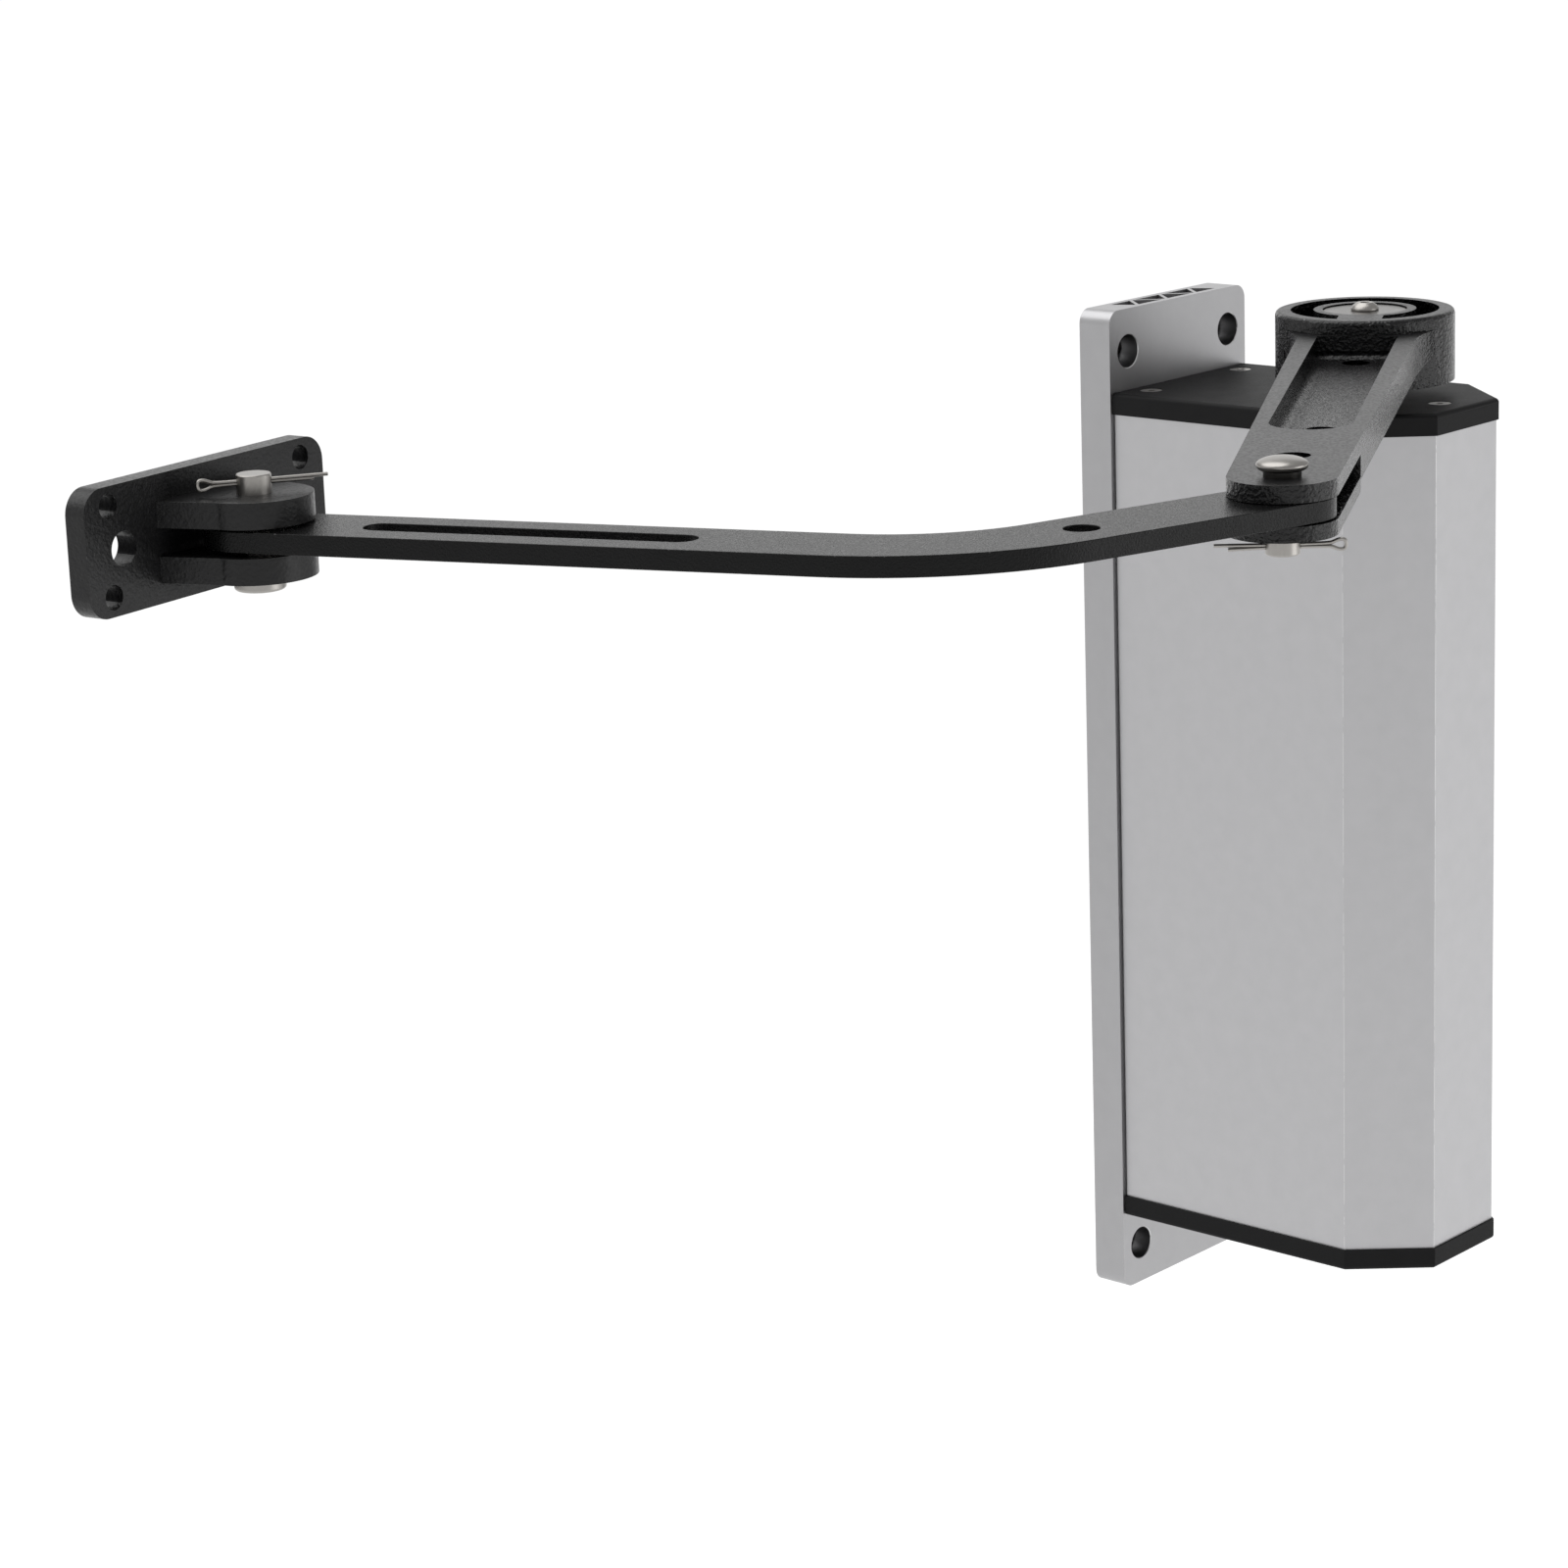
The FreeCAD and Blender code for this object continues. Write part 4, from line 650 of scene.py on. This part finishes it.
class CLOSER_OT_stage(bpy.types.Operator):
    """Pale floor, soft light and the camera"""
    bl_idname = "closer.stage"
    bl_label = "Stage"

    def execute(self, context):
        stage = context.scene.closer_stage
        self.add_camera(context, stage)
        self.add_floor(context, stage)
        self.add_light(context)
        return {"FINISHED"}

    def add_camera(self, context, stage):
        """The camera, from its place, its heading, how far it looks down and its tilt."""
        heading, down, roll = stage.azimuth, stage.pitch, stage.roll
        forward = Vector((-math.sin(heading) * math.cos(down), math.cos(heading) * math.cos(down),
                          -math.sin(down)))
        across = Vector((math.cos(heading), math.sin(heading), 0.0))
        above = across.cross(forward)
        right = across * math.cos(roll) + above * math.sin(roll)
        top = above * math.cos(roll) - across * math.sin(roll)
        camera = bpy.data.objects.new("camera", bpy.data.cameras.new("camera"))
        context.scene.collection.objects.link(camera)
        turn = Matrix((right, top, -forward)).transposed().to_4x4()
        camera.matrix_world = Matrix.Translation(Vector(stage.place)) @ turn
        camera.data.lens = stage.lens
        camera.data.clip_end = 200.0
        context.scene.camera = camera

    def add_floor(self, context, stage):
        """A wide pale floor below the object."""
        shape = bmesh.new()
        bmesh.ops.create_grid(shape, x_segments=8, y_segments=8, size=FLOOR_REACH,
                              matrix=Matrix.Translation((0.0, 0.0, cad_box[0][2] - stage.floor_drop)))
        mesh = bpy.data.meshes.new("floor")
        shape.to_mesh(mesh)
        shape.free()
        floor = bpy.data.objects.new("floor", mesh)
        context.scene.collection.objects.link(floor)
        new_material("floor_paper", FLOOR_COLOUR, metallic=0.0, roughness=0.9, Specular_IOR_Level=0.1)
        mesh.materials.append(bpy.data.materials["floor_paper"])

    def add_light(self, context):
        """The room, three softboxes and a wide soft overhead light."""
        context.scene.view_settings.view_transform = "Standard"
        self.add_world(context)
        for name, place, aim, size, power in SOFTBOXES:
            lamp = bpy.data.lights.new(name, "AREA")
            lamp.shape = "SQUARE"
            lamp.size = size
            lamp.energy = power
            self.place_lamp(context, lamp, place, aim)
        sky = bpy.data.lights.new("wide_overhead", "SUN")
        sky.angle = math.radians(OVERHEAD_SPREAD)
        sky.energy = OVERHEAD_STRENGTH
        self.place_lamp(context, sky, OVERHEAD_PLACE, (0.0, 0.0, 0.0))

    def place_lamp(self, context, lamp, place, aim):
        """Hang a lamp at a place, turned to face another."""
        holder = bpy.data.objects.new(lamp.name, lamp)
        context.scene.collection.objects.link(holder)
        turn = (Vector(aim) - Vector(place)).to_track_quat("-Z", "Y").to_matrix().to_4x4()
        holder.matrix_world = Matrix.Translation(place) @ turn

    def add_world(self, context):
        """A white backdrop for the camera, and a dimmer room all round for light and reflections."""
        world = bpy.data.worlds.new("studio")
        context.scene.world = world
        world.use_nodes = True
        tree = world.node_tree
        room = tree.nodes["Background"]
        room.inputs["Color"].default_value = WHITE
        room.inputs["Strength"].default_value = ROOM_STRENGTH
        backdrop = node(tree, "ShaderNodeBackground", sockets={"Color": WHITE, "Strength": 1.0})
        seen = tree.nodes.new("ShaderNodeLightPath").outputs["Is Camera Ray"]
        both = node(tree, "ShaderNodeMixShader",
                    sockets={0: seen, 1: room.outputs[0], 2: backdrop.outputs[0]})
        tree.links.new(both.outputs[0], tree.nodes["World Output"].inputs["Surface"])


class CLOSER_OT_finishes(bpy.types.Operator):
    """Shared effects and the closer's finishes"""
    bl_idname = "closer.finishes"
    bl_label = "Finishes"

    def execute(self, context):
        build_finishes(context.scene.closer_colours)
        return {"FINISHED"}


class CLOSER_OT_wall_plate(bpy.types.Operator):
    """Hollow extruded wall plate with rimmed fixing holes"""
    bl_idname = "closer.wall_plate"
    bl_label = "Wall plate"

    def execute(self, context):
        sizes = context.scene.closer_sizes
        low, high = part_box("wall_plate")
        shape = cad_shape("wall_plate")

        def is_hole_rim(edge, middle):
            front = abs(middle.y - low.y) < TOUCH
            return front and abs(middle.x) < high.x - 2 * MM and abs(middle.z) < high.z - 2 * MM

        def is_outside(edge, middle):
            return abs(middle.x) > high.x - PLATE_MARGIN or abs(middle.z) > high.z - TOUCH

        break_edges(shape, sharp_edges(shape, RIM_ANGLE, is_hole_rim), sizes.hole_rim, 1)
        break_edges(shape, sharp_edges(shape, SQUARE_ANGLE, is_outside), sizes.edge_break, 2)
        # The fixing bores' walls are marked to be darkened: painted shade inside the bores.
        mark_machined_and_shaded(shape, lambda face: float(abs(face.normal.y) < ACROSS_WALL
                                                and self.near_a_bore(face.calc_center_median())))
        settle("plate", shape, "plate_alloy", "base", ["wall_plate"])
        return {"FINISHED"}

    def near_a_bore(self, point):
        """Whether a point lies on or within the wall of one of the four fixing bores."""
        across, up = PLATE_BORES
        return math.hypot(abs(point.x) - across, abs(point.z) - up) < BORE_REACH


class CLOSER_OT_housing(bpy.types.Operator):
    """Chamfered housing extrusion"""
    bl_idname = "closer.housing"
    bl_label = "Housing"

    def execute(self, context):
        sizes = context.scene.closer_sizes
        share = 1.6
        shape = cad_shape("housing_tube")
        low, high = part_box("housing_tube")

        def is_outer_corner(edge, middle):
            upright = abs((edge.verts[0].co - edge.verts[1].co).normalized().z) > UPRIGHT
            outside = (abs(middle.x) > high.x - 1 * MM or middle.y < low.y + 1 * MM
                       or middle.y > high.y - 2 * MM)
            return upright and outside and edge.is_convex

        break_edges(shape, sharp_edges(shape, CORNER_ANGLE, is_outer_corner), sizes.edge_break * share, 3)
        settle("housing", shape, "housing_alloy", "base", ["housing_tube"])
        return {"FINISHED"}


class CLOSER_OT_caps(bpy.types.Operator):
    """Moulded end caps and their countersunk screws"""
    bl_idname = "closer.caps"
    bl_label = "End caps"

    def execute(self, context):
        sizes = context.scene.closer_sizes
        for name, cad_node, slot, share, segments in (
                ("cap_upper", "top_cap", "cap_plastic", 0.6, 2),
                ("cap_lower", "bottom_cap", "cap_plastic", 0.6, 2),
                ("cap_screws_upper", "top_cap_screws", "stainless", 0.3, 1),
                ("cap_screws_lower", "bottom_cap_screws", "stainless", 0.3, 1)):
            shape = cad_shape(cad_node)
            break_edges(shape, sharp_edges(shape, SQUARE_ANGLE), sizes.edge_break * share, segments)
            settle(name, shape, slot, "base", [cad_node])
        return {"FINISHED"}


class CLOSER_OT_main_arm(bpy.types.Operator):
    """Cast main arm with its hub"""
    bl_idname = "closer.main_arm"
    bl_label = "Main arm"

    def execute(self, context):
        sizes = context.scene.closer_sizes
        shape = cad_shape("main_arm")
        spindle = node_middle("spindle")
        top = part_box("main_arm")[1].z
        washer_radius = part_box("hub_washer")[1].x - spindle.x

        def is_hub_rim(edge, middle):
            away = math.hypot(middle.x - spindle.x, middle.y - spindle.y)
            return middle.z > top - TOUCH and away > washer_radius * 2

        break_edges(shape, sharp_edges(shape, CAST_ANGLE, is_hub_rim), sizes.hub_edge, 3)
        break_casting(shape, sizes.bore_edge, sizes.cast_edge, spared=is_hub_rim)
        mark_machined_and_shaded(shape, lambda face: float(face.normal.z > FACING_UP
                                                and face.calc_center_median().z > ARM_TOPS))
        mark_bore_shade(shape)
        settle("arm", shape, "arm_casting", "arm", ["main_arm"])
        return {"FINISHED"}


class CLOSER_OT_hub_fittings(bpy.types.Operator):
    """Washer and button-head screw that hold the arm on the spindle"""
    bl_idname = "closer.hub_fittings"
    bl_label = "Hub fittings"

    def execute(self, context):
        sizes = context.scene.closer_sizes
        share = 0.4
        for name, cad_node, faced in (("washer", "hub_washer", 0.6), ("button_screw", "hub_screw", 0.0)):
            shape = cad_shape(cad_node)
            break_edges(shape, sharp_edges(shape, FITTING_ANGLE), sizes.edge_break * share, 2)
            mark_machined_and_shaded(shape, lambda face: faced)
            settle(name, shape, "stainless", "arm", [cad_node])
        return {"FINISHED"}


class CLOSER_OT_pins(bpy.types.Operator):
    """Turned elbow and bracket pins"""
    bl_idname = "closer.pins"
    bl_label = "Pins"

    def execute(self, context):
        steps = context.scene.closer_sizes.facets
        flare_steps, crown_steps = 6, 12
        low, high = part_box("elbow_pin")
        foot, crown, rim = low.z / MM, high.z / MM, (high.x - low.x) / 2 / MM
        seat, neck, brim = crown - SEAT_DROP, crown - NECK_DROP, crown - BRIM_DROP
        profile = [(0.0, foot, 0), (SHANK, foot, SHANK_ROUND), (SHANK, seat, 0), (COLLAR, seat, 0),
                   (COLLAR, neck, 0)]
        profile += [(COLLAR + (rim - COLLAR) * math.sin(bend), brim - (brim - neck) * math.cos(bend), 0)
                    for bend in self.bends(flare_steps)]
        profile += [(rim * math.cos(bend), brim + (crown - brim) * math.sin(bend), 0)
                    for bend in self.bends(crown_steps)]
        shape = turned(profile, steps, (low + high) / 2)
        # The collar under the head is marked dark: painted shade under the pin's head.
        under_head = neck + TOUCH / MM
        mark_machined_and_shaded(shape, lambda face: float(seat < face.calc_center_median().z / MM < under_head))
        settle("pin_elbow", shape, "stainless", "arm", ["elbow_pin"])
        low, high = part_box("bracket_pin")
        foot, crown, rim = low.z / MM, high.z / MM, (high.x - low.x) / 2 / MM
        head_round, shoulder_round, crown_round = BRACKET_ROUNDS
        profile = [(0.0, foot, 0), (rim, foot, head_round), (rim, foot + BRACKET_HEAD, shoulder_round),
                   (SHANK, foot + BRACKET_HEAD, 0), (SHANK, crown, crown_round), (0.0, crown, 0)]
        settle("pin_bracket", turned(profile, steps, (low + high) / 2), "stainless", "bracket",
               ["bracket_pin"])
        return {"FINISHED"}

    def bends(self, count):
        """Even steps through a quarter turn, the first left out."""
        return [math.pi / 2 * (step + 1) / count for step in range(count)]


class CLOSER_OT_split_pins(bpy.types.Operator):
    """Split pins: an eye and two legs of folded wire"""
    bl_idname = "closer.split_pins"
    bl_label = "Split pins"

    def execute(self, context):
        wire = context.scene.closer_sizes.wire
        # The turn is in degrees, and the eye's end and the splay in millimetres from the pin's axis.
        for name, cad_node, pin, body, turn, end, splay in (
                ("split_pin_elbow", "elbow_split_pin", "elbow_pin", "arm", 131.2, 18.3, 0.25),
                ("split_pin_bracket", "bracket_split_pin", "bracket_pin", "bracket", -32.0, 16.5, 0.05)):
            low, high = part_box(cad_node)
            centre = node_middle(pin)
            place = (Matrix.Translation((centre.x, centre.y, (low.z + high.z) / 2))
                     @ Matrix.Rotation(math.radians(turn), 4, "Z"))
            neck = end - EYE_NECK
            line = self.leg(neck, SHORT_LEG - end, -LEG_OFFSET, -LEG_OFFSET - splay)
            line += [(away - end, 0, up) for away, up in EYE]
            line += reversed(self.leg(neck, LONG_LEG - end, LEG_OFFSET, LEG_OFFSET + splay))
            settle(name, wire_along(line, wire, place), "stainless", body, [cad_node])
        return {"FINISHED"}

    def leg(self, neck, reach, near, far):
        """One leg from its free end, through the pin, to where it widens into the eye."""
        widening, gain = 1.2, 2.2
        return [(reach, 0, far), (SPLAY_START, 0, near), (0, 0, near), (-neck, 0, near),
                (-neck - widening, 0, near * gain)]


class CLOSER_OT_forearm(bpy.types.Operator):
    """Bent slotted flat bar"""
    bl_idname = "closer.forearm"
    bl_label = "Forearm"

    def execute(self, context):
        sizes = context.scene.closer_sizes
        shape = cad_shape("forearm")
        break_edges(shape, sharp_edges(shape, SQUARE_ANGLE), sizes.bar_edge, 3)
        settle("bar", shape, "bar_steel", "forearm", ["forearm"])
        return {"FINISHED"}


class CLOSER_OT_leaf_bracket(bpy.types.Operator):
    """Cast clevis bracket for the leaf"""
    bl_idname = "closer.leaf_bracket"
    bl_label = "Leaf bracket"

    def execute(self, context):
        sizes = context.scene.closer_sizes
        smoothed = 0.75
        shape = cad_shape("gate_bracket")
        break_casting(shape, sizes.bore_edge, sizes.bracket_edge)
        mark_machined_and_shaded(shape, lambda face: smoothed)
        mark_bore_shade(shape)
        settle("clevis", shape, "arm_casting", "bracket", ["gate_bracket"])
        return {"FINISHED"}


class CLOSER_OT_inner_works(bpy.types.Operator):
    """Finishes on the pieces inside the housing"""
    bl_idname = "closer.inner_works"
    bl_label = "Inner works"

    def execute(self, context):
        for row in frame["record"]["subparts"]:
            if not frame["nodes"][row["node"]].hide_render:
                finish_node(row["node"], row["material_slot"])
        return {"FINISHED"}


STEPS = (CLOSER_OT_stage, CLOSER_OT_finishes, CLOSER_OT_wall_plate, CLOSER_OT_housing, CLOSER_OT_caps,
         CLOSER_OT_main_arm, CLOSER_OT_hub_fittings, CLOSER_OT_pins, CLOSER_OT_split_pins,
         CLOSER_OT_forearm, CLOSER_OT_leaf_bracket, CLOSER_OT_inner_works)


class CLOSER_PT_steps(bpy.types.Panel):
    """The closer's pieces, one button each"""
    bl_idname = "CLOSER_PT_steps"
    bl_label = "Door closer"
    bl_space_type = "VIEW_3D"
    bl_region_type = "UI"
    bl_category = "Closer"

    def draw(self, context):
        for step in STEPS:
            self.layout.operator(step.bl_idname)
        for group in (context.scene.closer_sizes, context.scene.closer_colours, context.scene.closer_stage):
            box = self.layout.box()
            for key in group.bl_rna.properties.keys():
                if key not in ("rna_type", "name"):
                    box.prop(group, key)


GROUPS = {"closer_sizes": CloserSizes, "closer_colours": CloserColours, "closer_stage": CloserStage}


def register():
    for kind in (*GROUPS.values(), *STEPS, CLOSER_PT_steps):
        bpy.utils.register_class(kind)
    for name, kind in GROUPS.items():
        setattr(bpy.types.Scene, name, PointerProperty(type=kind))


def unregister():
    for name in GROUPS:
        delattr(bpy.types.Scene, name)
    for kind in reversed((*GROUPS.values(), *STEPS, CLOSER_PT_steps)):
        bpy.utils.unregister_class(kind)


def main():
    register()
    for step in STEPS:
        area, name = step.bl_idname.split(".")
        getattr(getattr(bpy.ops, area), name)()


if __name__ == "__main__":
    main()
